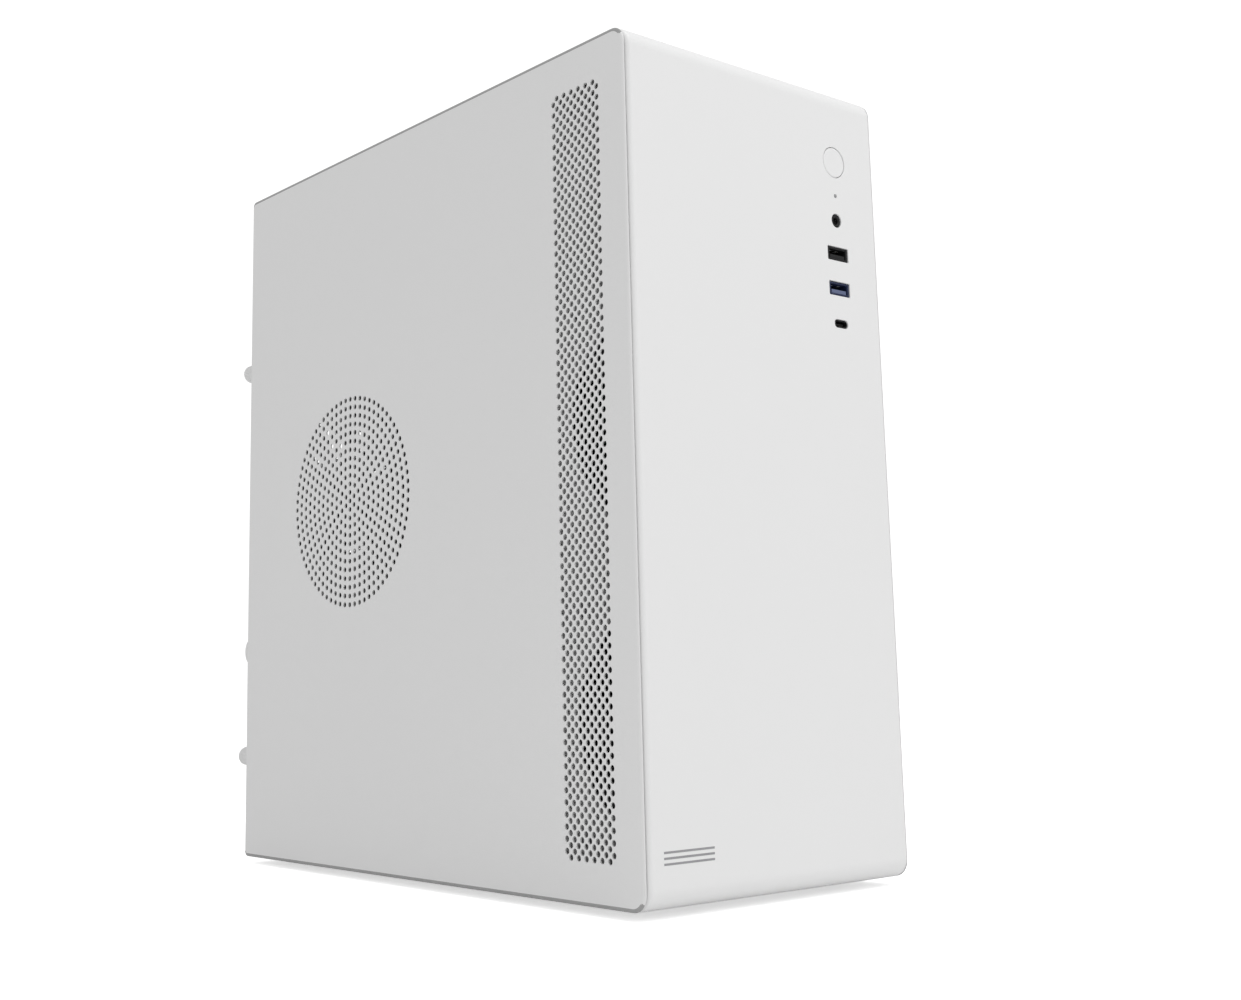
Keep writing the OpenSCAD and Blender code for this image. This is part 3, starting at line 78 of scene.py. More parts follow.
class TowerPanelSettings(bpy.types.PropertyGroup):
    """Sizes of the two perforated side panels"""

    shoulder: bpy.props.FloatProperty(
        name="Shoulder", description="Width of the rolled edge", default=1.8 * MM, unit="LENGTH")
    sheet: bpy.props.FloatProperty(
        name="Sheet", description="Thickness of the steel", default=0.8 * MM, unit="LENGTH")
    front_radius: bpy.props.FloatProperty(
        name="Front corners", description="Corner radius at the front", default=8.5 * MM, unit="LENGTH")
    back_radius: bpy.props.FloatProperty(
        name="Back corners", description="Corner radius at the back", default=3 * MM, unit="LENGTH")
    hem: bpy.props.FloatProperty(
        name="Hem", description="Width of the folds along the top and bottom", default=10 * MM, unit="LENGTH")
    lip: bpy.props.FloatProperty(
        name="Lip", description="Width of the fold at the back", default=15 * MM, unit="LENGTH")
    hole: bpy.props.FloatProperty(
        name="Hole", description="Diameter of the round perforations", default=3 * MM, unit="LENGTH")
    strip_start: bpy.props.FloatProperty(
        name="Strip from front", description="First column's distance behind the front face",
        default=21.2 * MM, unit="LENGTH")
    strip_low: bpy.props.FloatProperty(
        name="Strip from bottom", description="First row's height above the case's underside",
        default=20.6 * MM, unit="LENGTH")
    strip_pitch: bpy.props.FloatProperty(
        name="Column pitch", description="Distance between columns of one row", default=5.4 * MM,
        unit="LENGTH")
    row_pitch: bpy.props.FloatProperty(
        name="Row pitch", description="Distance between staggered rows", default=2.7 * MM, unit="LENGTH")
    columns: bpy.props.IntProperty(
        name="Columns", description="Holes in each wide row of the strip", default=7, min=2)
    vent_rings: bpy.props.IntProperty(
        name="Vent rings", description="Rings of holes in the round vent", default=12, min=1)
    ring_pitch: bpy.props.FloatProperty(
        name="Ring pitch", description="Distance between the vent's rings", default=4.85 * MM, unit="LENGTH")
    vent_back: bpy.props.FloatProperty(
        name="Vent from back", description="Vent's middle from the back edge", default=117 * MM,
        unit="LENGTH")
    vent_height: bpy.props.FloatProperty(
        name="Vent height", description="Vent's middle above the case's underside", default=202 * MM,
        unit="LENGTH")


class TowerFrontSettings(bpy.types.PropertyGroup):
    """Sizes of the pull-off front and what shows in it"""

    wall: bpy.props.FloatProperty(name="Wall", description="Moulding's wall", default=2.6 * MM, unit="LENGTH")
    end_radius: bpy.props.FloatProperty(
        name="End radius", description="Radius along the top and bottom", default=10 * MM, unit="LENGTH")
    side_radius: bpy.props.FloatProperty(
        name="Side radius", description="Radius down both sides", default=2.4 * MM, unit="LENGTH")
    line_length: bpy.props.FloatProperty(
        name="Line length", description="Length of the printed lines", default=31 * MM, unit="LENGTH")
    line_width: bpy.props.FloatProperty(
        name="Line width", description="Width of each printed line", default=1 * MM, unit="LENGTH")
    line_pitch: bpy.props.FloatProperty(
        name="Line pitch", description="Distance between the printed lines", default=2.5 * MM, unit="LENGTH")


class TowerFinishSettings(bpy.types.PropertyGroup):
    """Colours of the main finishes"""

    paint: bpy.props.FloatVectorProperty(
        name="Paint", description="Powder coat on the steel", subtype="COLOR", default=(0.785, 0.785, 0.785))
    moulding: bpy.props.FloatVectorProperty(
        name="Moulding", description="Plastic of the front", subtype="COLOR", default=(0.8, 0.8, 0.8))
    ink: bpy.props.FloatVectorProperty(
        name="Ink", description="Grey of the printed lines", subtype="COLOR", default=(0.3, 0.3, 0.31))


class TowerStageSettings(bpy.types.PropertyGroup):
    """Camera and light"""

    place: bpy.props.FloatVectorProperty(
        name="Camera", description="Where the camera stands", subtype="TRANSLATION",
        default=(-0.56621, -0.70907, 0.10422))
    azimuth: bpy.props.FloatProperty(
        name="Azimuth", description="Turn of the view from +Y towards +X", default=math.radians(39.566),
        subtype="ANGLE")
    rise: bpy.props.FloatProperty(
        name="Rise", description="Tilt of the view above level", default=math.radians(9.52), subtype="ANGLE")
    roll: bpy.props.FloatProperty(
        name="Roll", description="Roll of the camera", default=math.radians(-1.083), subtype="ANGLE")
    lens: bpy.props.FloatProperty(
        name="Lens", description="Focal length in mm on a 36 mm sensor", default=46.17)
    shift_x: bpy.props.FloatProperty(name="Shift X", description="Sideways shift of the frame", default=0.05)
    shift_y: bpy.props.FloatProperty(name="Shift Y", description="Upright shift of the frame", default=-0.07)
    sky: bpy.props.FloatProperty(name="Sky", description="Strength of the even light all round", default=0.67)
    key: bpy.props.FloatProperty(name="Key", description="Power of the front light in watts", default=3.2)
    top: bpy.props.FloatProperty(name="Top", description="Power of the overhead light in watts", default=13.0)
    glow: bpy.props.FloatProperty(
        name="Floor glow", description="What the floor adds to its own look", default=0.6)


# ---- Node trees ----

def feed(tree, socket, value):
    """Link a node's socket into another, or set it to a number."""
    if isinstance(value, bpy.types.NodeSocket):
        tree.links.new(value, socket)
    else:
        socket.default_value = value


def put(tree, kind, props=None, **inputs):
    """Add a node to a tree; each keyword names an input, its value a number or another node's socket."""
    made = tree.nodes.new(kind)
    for key, value in (props or {}).items():
        setattr(made, key, value)
    for key, value in inputs.items():
        by_index = key[0] == "i" and key[1:].isdigit()
        feed(tree, made.inputs[int(key[1:]) if by_index else key.replace("_", " ")], value)
    return made


def math_of(tree, operation, *values):
    """A Math node's result."""
    return put(tree, "ShaderNodeMath", {"operation": operation},
               **{f"i{i}": value for i, value in enumerate(values)}).outputs[0]


def open_tree(name, kind, inputs, outputs):
    """A node group with named sockets: its tree, its inputs' sockets and its output node."""
    tree = bpy.data.node_groups.new(name, kind)
    for label, socket, *default in inputs:
        made = tree.interface.new_socket(label, in_out="INPUT", socket_type=socket)
        if default:
            made.default_value = default[0]
    for label, socket in outputs:
        tree.interface.new_socket(label, in_out="OUTPUT", socket_type=socket)
    entry = tree.nodes.new("NodeGroupInput")
    return tree, {s.name: s for s in entry.outputs if s.name}, tree.nodes.new("NodeGroupOutput")


FLOAT, VECTOR, COLOUR = "NodeSocketFloat", "NodeSocketVector", "NodeSocketColor"


def build_tone_group():
    """Slow and fine drift of a colour and its gloss."""
    tree, given, out = open_tree(
        "Tone drift", "ShaderNodeTree",
        [("Vector", VECTOR), ("Colour", COLOUR), ("Amount", FLOAT, 0.03), ("Size", FLOAT, 0.05),
         ("Gloss", FLOAT, 0.5), ("Gloss drift", FLOAT, 0.05)],
        [("Colour", COLOUR), ("Roughness", FLOAT)])
    scale = math_of(tree, "DIVIDE", 1.0, given["Size"])
    slow = put(tree, "ShaderNodeTexNoise", Vector=given["Vector"], Scale=scale, Detail=3.0, Roughness=0.55)
    fine = put(tree, "ShaderNodeTexNoise", Vector=given["Vector"],
               Scale=math_of(tree, "MULTIPLY", scale, 9.0),
               Detail=4.0, Roughness=0.6)
    both = math_of(tree, "ADD", math_of(tree, "MULTIPLY", slow.outputs[0], 1.3),
                   math_of(tree, "MULTIPLY", fine.outputs[0], 0.7))
    drift = math_of(tree, "SUBTRACT", both, 1.0)
    factor = math_of(tree, "MULTIPLY_ADD", drift, given["Amount"], 1.0)
    tinted = put(tree, "ShaderNodeVectorMath", {"operation": "SCALE"}, i0=given["Colour"], Scale=factor)
    gloss = put(tree, "ShaderNodeMath", {"operation": "MULTIPLY_ADD", "use_clamp": True},
                i0=drift, i1=given["Gloss drift"], i2=given["Gloss"])
    tree.links.new(tinted.outputs[0], out.inputs["Colour"])
    tree.links.new(gloss.outputs[0], out.inputs["Roughness"])
    return tree


def build_relief_group():
    """Height of a fine random surface: orange peel, spark-eroded mould skin or cast grain."""
    tree, given, out = open_tree(
        "Fine relief", "ShaderNodeTree",
        [("Vector", VECTOR), ("Grain", FLOAT, 0.0006), ("Sharpness", FLOAT, 0.5), ("Pits", FLOAT, 0.0)],
        [("Height", FLOAT)])
    scale = math_of(tree, "DIVIDE", 1.0, given["Grain"])
    soft = put(tree, "ShaderNodeTexNoise", Vector=given["Vector"], Scale=scale, Detail=2.0,
               Roughness=given["Sharpness"])
    cells = put(tree, "ShaderNodeTexVoronoi", {"feature": "SMOOTH_F1"}, Vector=given["Vector"],
                Scale=math_of(tree, "MULTIPLY", scale, 0.8), Smoothness=0.4)
    pits = math_of(tree, "MULTIPLY", cells.outputs["Distance"], given["Pits"])
    tree.links.new(math_of(tree, "ADD", soft.outputs[0], pits), out.inputs["Height"])
    return tree


def build_brushed_group():
    """Lines drawn out along one direction, as rolling, brushing or extruding leaves them."""
    tree, given, out = open_tree(
        "Drawn lines", "ShaderNodeTree",
        [("Vector", VECTOR), ("Stretch", VECTOR, (1.0, 0.04, 1.0)), ("Grain", FLOAT, 0.0005)],
        [("Height", FLOAT), ("Mask", FLOAT)])
    drawn = put(tree, "ShaderNodeVectorMath", {"operation": "MULTIPLY"}, i0=given["Vector"],
                i1=given["Stretch"])
    scale = math_of(tree, "DIVIDE", 1.0, given["Grain"])
    lines = put(tree, "ShaderNodeTexNoise", Vector=drawn.outputs[0], Scale=scale, Detail=4.0, Roughness=0.65)
    wide = put(tree, "ShaderNodeTexNoise", Vector=drawn.outputs[0],
               Scale=math_of(tree, "MULTIPLY", scale, 0.12),
               Detail=2.0)
    tree.links.new(lines.outputs[0], out.inputs["Height"])
    tree.links.new(math_of(tree, "MULTIPLY", lines.outputs[0], wide.outputs[0]), out.inputs["Mask"])
    return tree


def build_spangle_group():
    """Crystal patches of zinc plating."""
    tree, given, out = open_tree(
        "Zinc spangle", "ShaderNodeTree",
        [("Vector", VECTOR), ("Size", FLOAT, 0.006), ("Amount", FLOAT, 0.1)], [("Factor", FLOAT)])
    bent = put(tree, "ShaderNodeTexNoise", Vector=given["Vector"], Scale=260.0, Detail=1.0)
    moved = put(tree, "ShaderNodeVectorMath", {"operation": "SCALE"}, i0=bent.outputs["Color"], Scale=0.002)
    where = put(tree, "ShaderNodeVectorMath", {"operation": "ADD"}, i0=given["Vector"], i1=moved.outputs[0])
    cells = put(tree, "ShaderNodeTexVoronoi", Vector=where.outputs[0],
                Scale=math_of(tree, "DIVIDE", 1.0, given["Size"]))
    tone = put(tree, "ShaderNodeSeparateColor", Color=cells.outputs["Color"])
    centred = math_of(tree, "SUBTRACT", tone.outputs[0], 0.5)
    tree.links.new(math_of(tree, "MULTIPLY_ADD", centred, given["Amount"], 1.0), out.inputs["Factor"])
    return tree


def build_braid_group():
    """Strands of a braided sleeve, crossing in two directions."""
    tree, given, out = open_tree(
        "Braid", "ShaderNodeTree", [("Vector", VECTOR), ("Pitch", FLOAT, 0.0022)], [("Height", FLOAT)])
    turns = math_of(tree, "DIVIDE", 2 * math.pi, given["Pitch"])
    axes = put(tree, "ShaderNodeSeparateXYZ", Vector=given["Vector"])
    x, y, z = axes.outputs
    one = math_of(tree, "ADD", math_of(tree, "ADD", x, y), z)
    two = math_of(tree, "SUBTRACT", math_of(tree, "SUBTRACT", x, y), z)
    waves = [math_of(tree, "SINE", math_of(tree, "MULTIPLY", way, turns)) for way in (one, two)]
    tree.links.new(math_of(tree, "MULTIPLY", waves[0], waves[1]), out.inputs["Height"])
    return tree


def build_trace_group():
    """Copper tracks and round pads that show through a board's solder mask."""
    tree, given, out = open_tree(
        "Board tracks", "ShaderNodeTree",
        [("Vector", VECTOR), ("Pitch", FLOAT, 0.0014)], [("Tracks", FLOAT), ("Pads", FLOAT)])
    axes = put(tree, "ShaderNodeSeparateXYZ", Vector=given["Vector"])
    flat = put(tree, "ShaderNodeCombineXYZ", X=axes.outputs[1], Y=axes.outputs[2])
    areas = put(tree, "ShaderNodeTexVoronoi", {"distance": "CHEBYCHEV"}, Vector=flat.outputs[0], Scale=55.0)
    pick = put(tree, "ShaderNodeSeparateColor", Color=areas.outputs["Color"])
    turned = math_of(tree, "GREATER_THAN", pick.outputs[0], 0.5)
    sloped = math_of(tree, "GREATER_THAN", pick.outputs[1], 0.7)
    along = put(tree, "ShaderNodeMix", {"data_type": "FLOAT"}, Factor=turned, A=axes.outputs[1],
                B=axes.outputs[2])
    leaning = math_of(tree, "MULTIPLY", math_of(tree, "ADD", axes.outputs[1], axes.outputs[2]), 0.7071)
    way = put(tree, "ShaderNodeMix", {"data_type": "FLOAT"}, Factor=sloped, A=along.outputs[0], B=leaning)
    wave = math_of(tree, "PINGPONG", math_of(tree, "DIVIDE", way.outputs[0], given["Pitch"]), 0.5)
    some = math_of(tree, "GREATER_THAN", pick.outputs[2], 0.25)
    tree.links.new(math_of(tree, "MULTIPLY", math_of(tree, "LESS_THAN", wave, 0.13), some),
                   out.inputs["Tracks"])
    dots = put(tree, "ShaderNodeTexVoronoi", Vector=flat.outputs[0], Scale=320.0)
    tree.links.new(math_of(tree, "LESS_THAN", dots.outputs["Distance"], 0.16), out.inputs["Pads"])
    return tree


def use(tree, group, **inputs):
    """Place a group in a tree."""
    made = tree.nodes.new("GeometryNodeGroup" if tree.bl_idname == "GeometryNodeTree" else "ShaderNodeGroup")
    made.node_tree = group
    for key, value in inputs.items():
        feed(tree, made.inputs[key.replace("_", " ")], value)
    return made


GROUPS = {}
FINISH = {}


def finish(name, colour, gloss, tone=0.03, drift_size=0.05, gloss_drift=0.06, grain=0.0006, depth=0.00002,
           pits=0.0, sharp=0.5, metallic=0.0, drawn=None, spangle=0.0, braid=0.0, tracks=False, **constants):
    """A procedural finish on Object coordinates; constants are set straight on the shader's sockets."""
    made = bpy.data.materials.new(name)
    made.use_nodes = True
    tree = made.node_tree
    shader = tree.nodes["Principled BSDF"]
    where = tree.nodes.new("ShaderNodeTexCoord").outputs["Object"]
    toned = use(tree, GROUPS["tone"], Vector=where, Colour=(*colour, 1.0), Amount=tone, Size=drift_size,
                Gloss=gloss, Gloss_drift=gloss_drift)
    shade, rough = toned.outputs["Colour"], toned.outputs["Roughness"]
    height = use(tree, GROUPS["relief"], Vector=where, Grain=grain, Sharpness=sharp,
                 Pits=pits).outputs["Height"]
    if drawn:
        lines = use(tree, GROUPS["drawn"], Vector=where, Stretch=drawn, Grain=grain)
        height = lines.outputs["Height"]
        rough = math_of(tree, "MULTIPLY_ADD", lines.outputs["Mask"], 0.16, rough)
    if spangle:
        patch = use(tree, GROUPS["spangle"], Vector=where, Amount=spangle)
        shade = put(tree, "ShaderNodeVectorMath", {"operation": "SCALE"}, i0=shade,
                    Scale=patch.outputs["Factor"]).outputs[0]
        rough = math_of(tree, "MULTIPLY", rough, patch.outputs["Factor"])
    if braid:
        height = use(tree, GROUPS["braid"], Vector=where, Pitch=braid).outputs["Height"]
    if tracks:
        copper = use(tree, GROUPS["tracks"], Vector=where)
        lit = put(tree, "ShaderNodeMix", {"data_type": "RGBA"}, Factor=copper.outputs["Tracks"], i6=shade,
                  i7=(colour[0] * 1.9 + 0.02, colour[1] * 1.9, colour[2] * 1.7, 1.0))
        padded = put(tree, "ShaderNodeMix", {"data_type": "RGBA"}, Factor=copper.outputs["Pads"],
                     i6=lit.outputs[2], i7=(0.5, 0.5, 0.46, 1.0))
        shade = padded.outputs[2]
        height = math_of(tree, "ADD", copper.outputs["Tracks"], height)
    tree.links.new(shade, shader.inputs["Base Color"])
    tree.links.new(rough, shader.inputs["Roughness"])
    bump = put(tree, "ShaderNodeBump", Strength=1.0, Distance=depth, Height=height)
    tree.links.new(bump.outputs[0], shader.inputs["Normal"])
    shader.inputs["Metallic"].default_value = metallic
    for key, value in constants.items():
        shader.inputs[key.replace("_", " ")].default_value = value
    FINISH[name] = made
    return made


# ---- Mesh making ----

def link(name, mesh):
    """An object for a mesh, with its place in the mesh."""
    made = bpy.data.objects.new(name, mesh)
    bpy.context.scene.collection.objects.link(made)
    return made


def raw(name, points, faces):
    mesh = bpy.data.meshes.new(name)
    mesh.from_pydata([tuple(p) for p in points], [], faces)
    mesh.update()
    return mesh


def tidy(mesh, merge=1e-6):
    """Merge doubles and turn the faces of closed shells outwards."""
    work = bmesh.new()
    work.from_mesh(mesh)
    bmesh.ops.remove_doubles(work, verts=work.verts, dist=merge)
    bmesh.ops.recalc_face_normals(work, faces=work.faces)
    work.to_mesh(mesh)
    work.free()
    return mesh


def join(name, meshes):
    """One mesh out of several, each keeping its own materials."""
    work = bmesh.new()
    finishes = []
    for mesh in meshes:
        first = len(work.faces)
        work.from_mesh(mesh)
        work.faces.ensure_lookup_table()
        slots = []
        for one in mesh.materials:
            if one not in finishes:
                finishes.append(one)
            slots.append(finishes.index(one))
        for face in work.faces[first:]:
            if slots:
                face.material_index = slots[min(face.material_index, len(slots) - 1)]
    whole = bpy.data.meshes.new(name)
    work.to_mesh(whole)
    work.free()
    for one in finishes:
        whole.materials.append(one)
    return whole


def dressed(mesh, name):
    """The mesh with one finish all over."""
    mesh.materials.clear()
    mesh.materials.append(FINISH[name])
    return mesh


def settle(obj, body, slot_name, *replaced, smooth=35.0, weighted=True):
    """Bake an object's modifiers, smooth its curved faces and hand it to its body."""
    obj.data.shade_smooth()
    obj.data.set_sharp_from_angle(angle=math.radians(smooth))
    if weighted:
        keep = obj.modifiers.new("Weighted normals", "WEIGHTED_NORMAL")
        keep.keep_sharp = True
    bake(obj)
    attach(obj, body)
    if replaced:
        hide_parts(*replaced)
    return obj


def bake(obj):
    """Turn the modifiers' result into the object's own plain mesh."""
    seen = obj.evaluated_get(bpy.context.evaluated_depsgraph_get())
    plain = bpy.data.meshes.new_from_object(seen)
    obj.modifiers.clear()
    obj.data = plain
    return obj


def block(lo, hi, edge=0.0, segments=2):
    """A box between two corners, with rounded edges."""
    work = bmesh.new()
    bmesh.ops.create_cube(work, size=1.0)
    middle, size = (Vector(lo) + Vector(hi)) / 2, Vector(hi) - Vector(lo)
    for v in work.verts:
        v.co = Vector(c * s for c, s in zip(v.co, size)) + middle
    if edge:
        bmesh.ops.bevel(work, geom=work.edges[:], offset=edge, segments=segments, profile=0.5, affect="EDGES")
    mesh = bpy.data.meshes.new("block")
    work.to_mesh(mesh)
    work.free()
    return mesh


def turned(profile, centre, axis="Y", steps=48):
    """A closed solid turned from (radius, distance) points about an axis, ending on the axis or as a ring."""
    points, faces, rings = [], [], []
    for radius, away in profile:
        if radius < 1e-7:
            rings.append([len(points)])
            points.append((0.0, 0.0, away))
        else:
            rings.append(list(range(len(points), len(points) + steps)))
            points += [(u, v, away) for u, v in circle(0, 0, radius, steps)]
    loop = list(zip(rings, rings[1:]))
    if profile[0][0] > 1e-7:
        loop.append((rings[-1], rings[0]))
    for a, b in loop:
        for k in range(steps):
            m = (k + 1) % steps
            corner = [a[k % len(a)], a[m % len(a)], b[m % len(b)], b[k % len(b)]]
            face = list(dict.fromkeys(corner))
            if len(face) > 2:
                faces.append(face)
    turn = {"X": Matrix.Rotation(math.pi / 2, 4, "Y"), "Y": Matrix.Rotation(-math.pi / 2, 4, "X"),
            "Z": Matrix.Identity(4)}[axis]
    mesh = raw("turned", points, faces)
    mesh.transform(Matrix.Translation(Vector(centre)) @ turn)
    return tidy(mesh)


def plate(loops, low, high, axis="Z"):
    """A flat plate with holes: the first loop is its outline, in the two axes after `axis`."""
    curve = bpy.data.curves.new("plate", "CURVE")
    curve.dimensions, curve.fill_mode, curve.extrude = "2D", "BOTH", abs(high - low) / 2
    for loop in loops:
        spline = curve.splines.new("POLY")
        spline.points.add(len(loop) - 1)
        spline.use_cyclic_u = True
        for point, (u, v) in zip(spline.points, loop):
            point.co = (u, v, 0.0, 1.0)
    holder = link("plate", curve)
    mesh = bpy.data.meshes.new_from_object(holder.evaluated_get(bpy.context.evaluated_depsgraph_get()))
    bpy.data.objects.remove(holder)
    turn = {"X": Matrix(((0, 0, 1), (1, 0, 0), (0, 1, 0))), "Y": Matrix(((0, 1, 0), (0, 0, 1), (1, 0, 0))),
            "Z": Matrix.Identity(3)}[axis].to_4x4()
    mesh.transform(turn)
    shift = Vector((0, 0, 0))
    shift["XYZ".index(axis)] = (low + high) / 2
    mesh.transform(Matrix.Translation(shift))
    return tidy(mesh)


def corners(u0, u1, v0, v1):
    return [(u0, v0), (u1, v0), (u1, v1), (u0, v1)]


def circle(u, v, radius, steps=24):
    return [(u + radius * math.cos(2 * math.pi * k / steps), v + radius * math.sin(2 * math.pi * k / steps))
            for k in range(steps)]


def rounded(u0, v0, u1, v1, radius, steps=6):
    """A rectangle's outline with round corners."""
    points = []
    for cu, cv, start in ((u1 - radius, v1 - radius, 0), (u0 + radius, v1 - radius, 90),
                          (u0 + radius, v0 + radius, 180), (u1 - radius, v0 + radius, 270)):
        for k in range(steps + 1):
            a = math.radians(start + 90 * k / steps)
            points.append((cu + radius * math.cos(a), cv + radius * math.sin(a)))
    return points


def carve(obj, cutters, operation="DIFFERENCE"):
    """Cut closed meshes out of an object."""
    for mesh in cutters:
        tool = link("cutter", mesh)
        cut = obj.modifiers.new("Cut", "BOOLEAN")
        cut.operation, cut.solver, cut.object = operation, "EXACT", tool
        bake(obj)
        bpy.data.objects.remove(tool)
    return obj


def solids_of(node):
    """The separate solids of a CAD node: the corners of each, and its lowest and highest corner."""
    work = bmesh.new()
    work.from_mesh(NODES[node].data)
    bmesh.ops.remove_doubles(work, verts=work.verts, dist=1e-6)
    left, found = set(work.verts), []
    while left:
        heap, group = [left.pop()], []
        while heap:
            v = heap.pop()
            group.append(v.co.copy())
            for e in v.link_edges:
                other = e.other_vert(v)
                if other in left:
                    left.remove(other)
                    heap.append(other)
        found.append((group, Vector(min(c[i] for c in group) for i in range(3)),
                      Vector(max(c[i] for c in group) for i in range(3))))
    work.free()
    return sorted(found, key=lambda solid: tuple(round(c, 5) for c in solid[1]))


# ---- Geometry Nodes ----

GEOMETRY = "NodeSocketGeometry"


def build_perforated_tree():
    """Sheet with a staggered strip and a round ring vent of holes, from its outline drawn in the XY plane."""
    tree, given, out = open_tree(
        "Perforated sheet", "GeometryNodeTree",
        [("Outline", GEOMETRY), ("Hole diameter", FLOAT, 0.003), ("Wide row", "NodeSocketInt", 7),
         ("Strip holes", "NodeSocketInt", 877), ("Column pitch", FLOAT, 0.0054), ("Row pitch", FLOAT, 0.0027),
         ("Strip start", VECTOR), ("Vent holes", "NodeSocketInt", 469), ("Ring pitch", FLOAT, 0.00485),
         ("Vent middle", VECTOR), ("Sheet", FLOAT, 0.0008), ("Finish", "NodeSocketMaterial")],
        [("Geometry", GEOMETRY)])
    index = tree.nodes.new("GeometryNodeInputIndex").outputs[0]

    narrow = math_of(tree, "SUBTRACT", given["Wide row"], 1.0)
    pair_size = math_of(tree, "ADD", given["Wide row"], narrow)
    pair = math_of(tree, "FLOOR", math_of(tree, "DIVIDE", index, pair_size))
    place = math_of(tree, "SUBTRACT", index, math_of(tree, "MULTIPLY", pair, pair_size))
    is_wide = math_of(tree, "GREATER_THAN", place, math_of(tree, "SUBTRACT", narrow, 0.5))
    column = math_of(tree, "SUBTRACT", math_of(tree, "ADD", place, 0.5),
                     math_of(tree, "MULTIPLY", is_wide, math_of(tree, "ADD", narrow, 0.5)))
    row = math_of(tree, "MULTIPLY_ADD", pair, 2.0, is_wide)
    spot = put(tree, "ShaderNodeCombineXYZ", X=math_of(tree, "MULTIPLY", column, given["Column pitch"]),
               Y=math_of(tree, "MULTIPLY", row, given["Row pitch"]))
    spot = put(tree, "ShaderNodeVectorMath", {"operation": "ADD"}, i0=spot.outputs[0],
               i1=given["Strip start"])

    ring = math_of(tree, "DIVIDE", math_of(tree, "SUBTRACT", math_of(
        tree, "SQRT", math_of(tree, "MULTIPLY_ADD", index, 12.0, 9.0)), 3.0), 6.0)
    ring = math_of(tree, "CEIL", math_of(tree, "SUBTRACT", ring, 0.0001))
    before = math_of(tree, "MULTIPLY", math_of(tree, "MULTIPLY", ring,
                                               math_of(tree, "SUBTRACT", ring, 1.0)), 3.0)
    step = math_of(tree, "SUBTRACT", math_of(tree, "SUBTRACT", index, before), 1.0)
    angle = math_of(tree, "DIVIDE", math_of(tree, "MULTIPLY", step, math.pi / 3),
                    math_of(tree, "MAXIMUM", ring, 1.0))
    reach = math_of(tree, "MULTIPLY", ring, given["Ring pitch"])
    round_spot = put(tree, "ShaderNodeCombineXYZ",
                     X=math_of(tree, "MULTIPLY", reach, math_of(tree, "SINE", angle)),
                     Y=math_of(tree, "MULTIPLY", reach, math_of(tree, "COSINE", angle)))
    round_spot = put(tree, "ShaderNodeVectorMath", {"operation": "ADD"}, i0=round_spot.outputs[0],
                     i1=given["Vent middle"])

    ring_of = put(tree, "GeometryNodeCurvePrimitiveCircle", Resolution=12,
                  Radius=math_of(tree, "MULTIPLY", given["Hole diameter"], 0.5))
    loops = [put(tree, "GeometryNodeMeshToCurve", Mesh=given["Outline"]).outputs[0]]
    for count, where in (("Strip holes", spot), ("Vent holes", round_spot)):
        line = put(tree, "GeometryNodeMeshLine", Count=given[count])
        spread = put(tree, "GeometryNodeSetPosition", Geometry=line.outputs[0], Position=where.outputs[0])
        copies = put(tree, "GeometryNodeInstanceOnPoints", Points=spread.outputs[0],
                     Instance=ring_of.outputs[0])
        loops.append(put(tree, "GeometryNodeRealizeInstances", Geometry=copies.outputs[0]).outputs[0])
    gathered = tree.nodes.new("GeometryNodeJoinGeometry")
    for loop in reversed(loops):
        tree.links.new(loop, gathered.inputs[0])
    filled = put(tree, "GeometryNodeFillCurve", Curve=gathered.outputs[0])
    up = put(tree, "ShaderNodeCombineXYZ", Z=given["Sheet"])
    raised = put(tree, "GeometryNodeExtrudeMesh", Mesh=filled.outputs[0], Offset=up.outputs[0],
                 Individual=False)
    base = put(tree, "GeometryNodeFlipFaces", Mesh=filled.outputs[0])
    closed = tree.nodes.new("GeometryNodeJoinGeometry")
    tree.links.new(base.outputs[0], closed.inputs[0])
    tree.links.new(raised.outputs[0], closed.inputs[0])
    welded = put(tree, "GeometryNodeMergeByDistance", Geometry=closed.outputs[0], Distance=0.000001)
    plain = put(tree, "GeometryNodeRealizeInstances", Geometry=welded.outputs[0])
    painted = put(tree, "GeometryNodeSetMaterial", Geometry=plain.outputs[0], Material=given["Finish"])
    tree.links.new(painted.outputs[0], out.inputs[0])
    return tree


def build_ring_tree():
    """Copies of one element turned about the local Z axis."""
    tree, given, out = open_tree(
        "Ring of copies", "GeometryNodeTree",
        [("Element", GEOMETRY), ("Count", "NodeSocketInt", 24), ("Finish", "NodeSocketMaterial")],
        [("Geometry", GEOMETRY)])
    index = tree.nodes.new("GeometryNodeInputIndex").outputs[0]
    line = put(tree, "GeometryNodeMeshLine", Count=given["Count"], Offset=(0.0, 0.0, 0.0))
    angle = math_of(tree, "DIVIDE", math_of(tree, "MULTIPLY", index, 2 * math.pi), given["Count"])
    turn = put(tree, "ShaderNodeCombineXYZ", Z=angle)
    copies = put(tree, "GeometryNodeInstanceOnPoints", Points=line.outputs[0], Instance=given["Element"],
                 Rotation=turn.outputs[0])
    plain = put(tree, "GeometryNodeRealizeInstances", Geometry=copies.outputs[0])
    painted = put(tree, "GeometryNodeSetMaterial", Geometry=plain.outputs[0], Material=given["Finish"])
    tree.links.new(painted.outputs[0], out.inputs[0])
    return tree


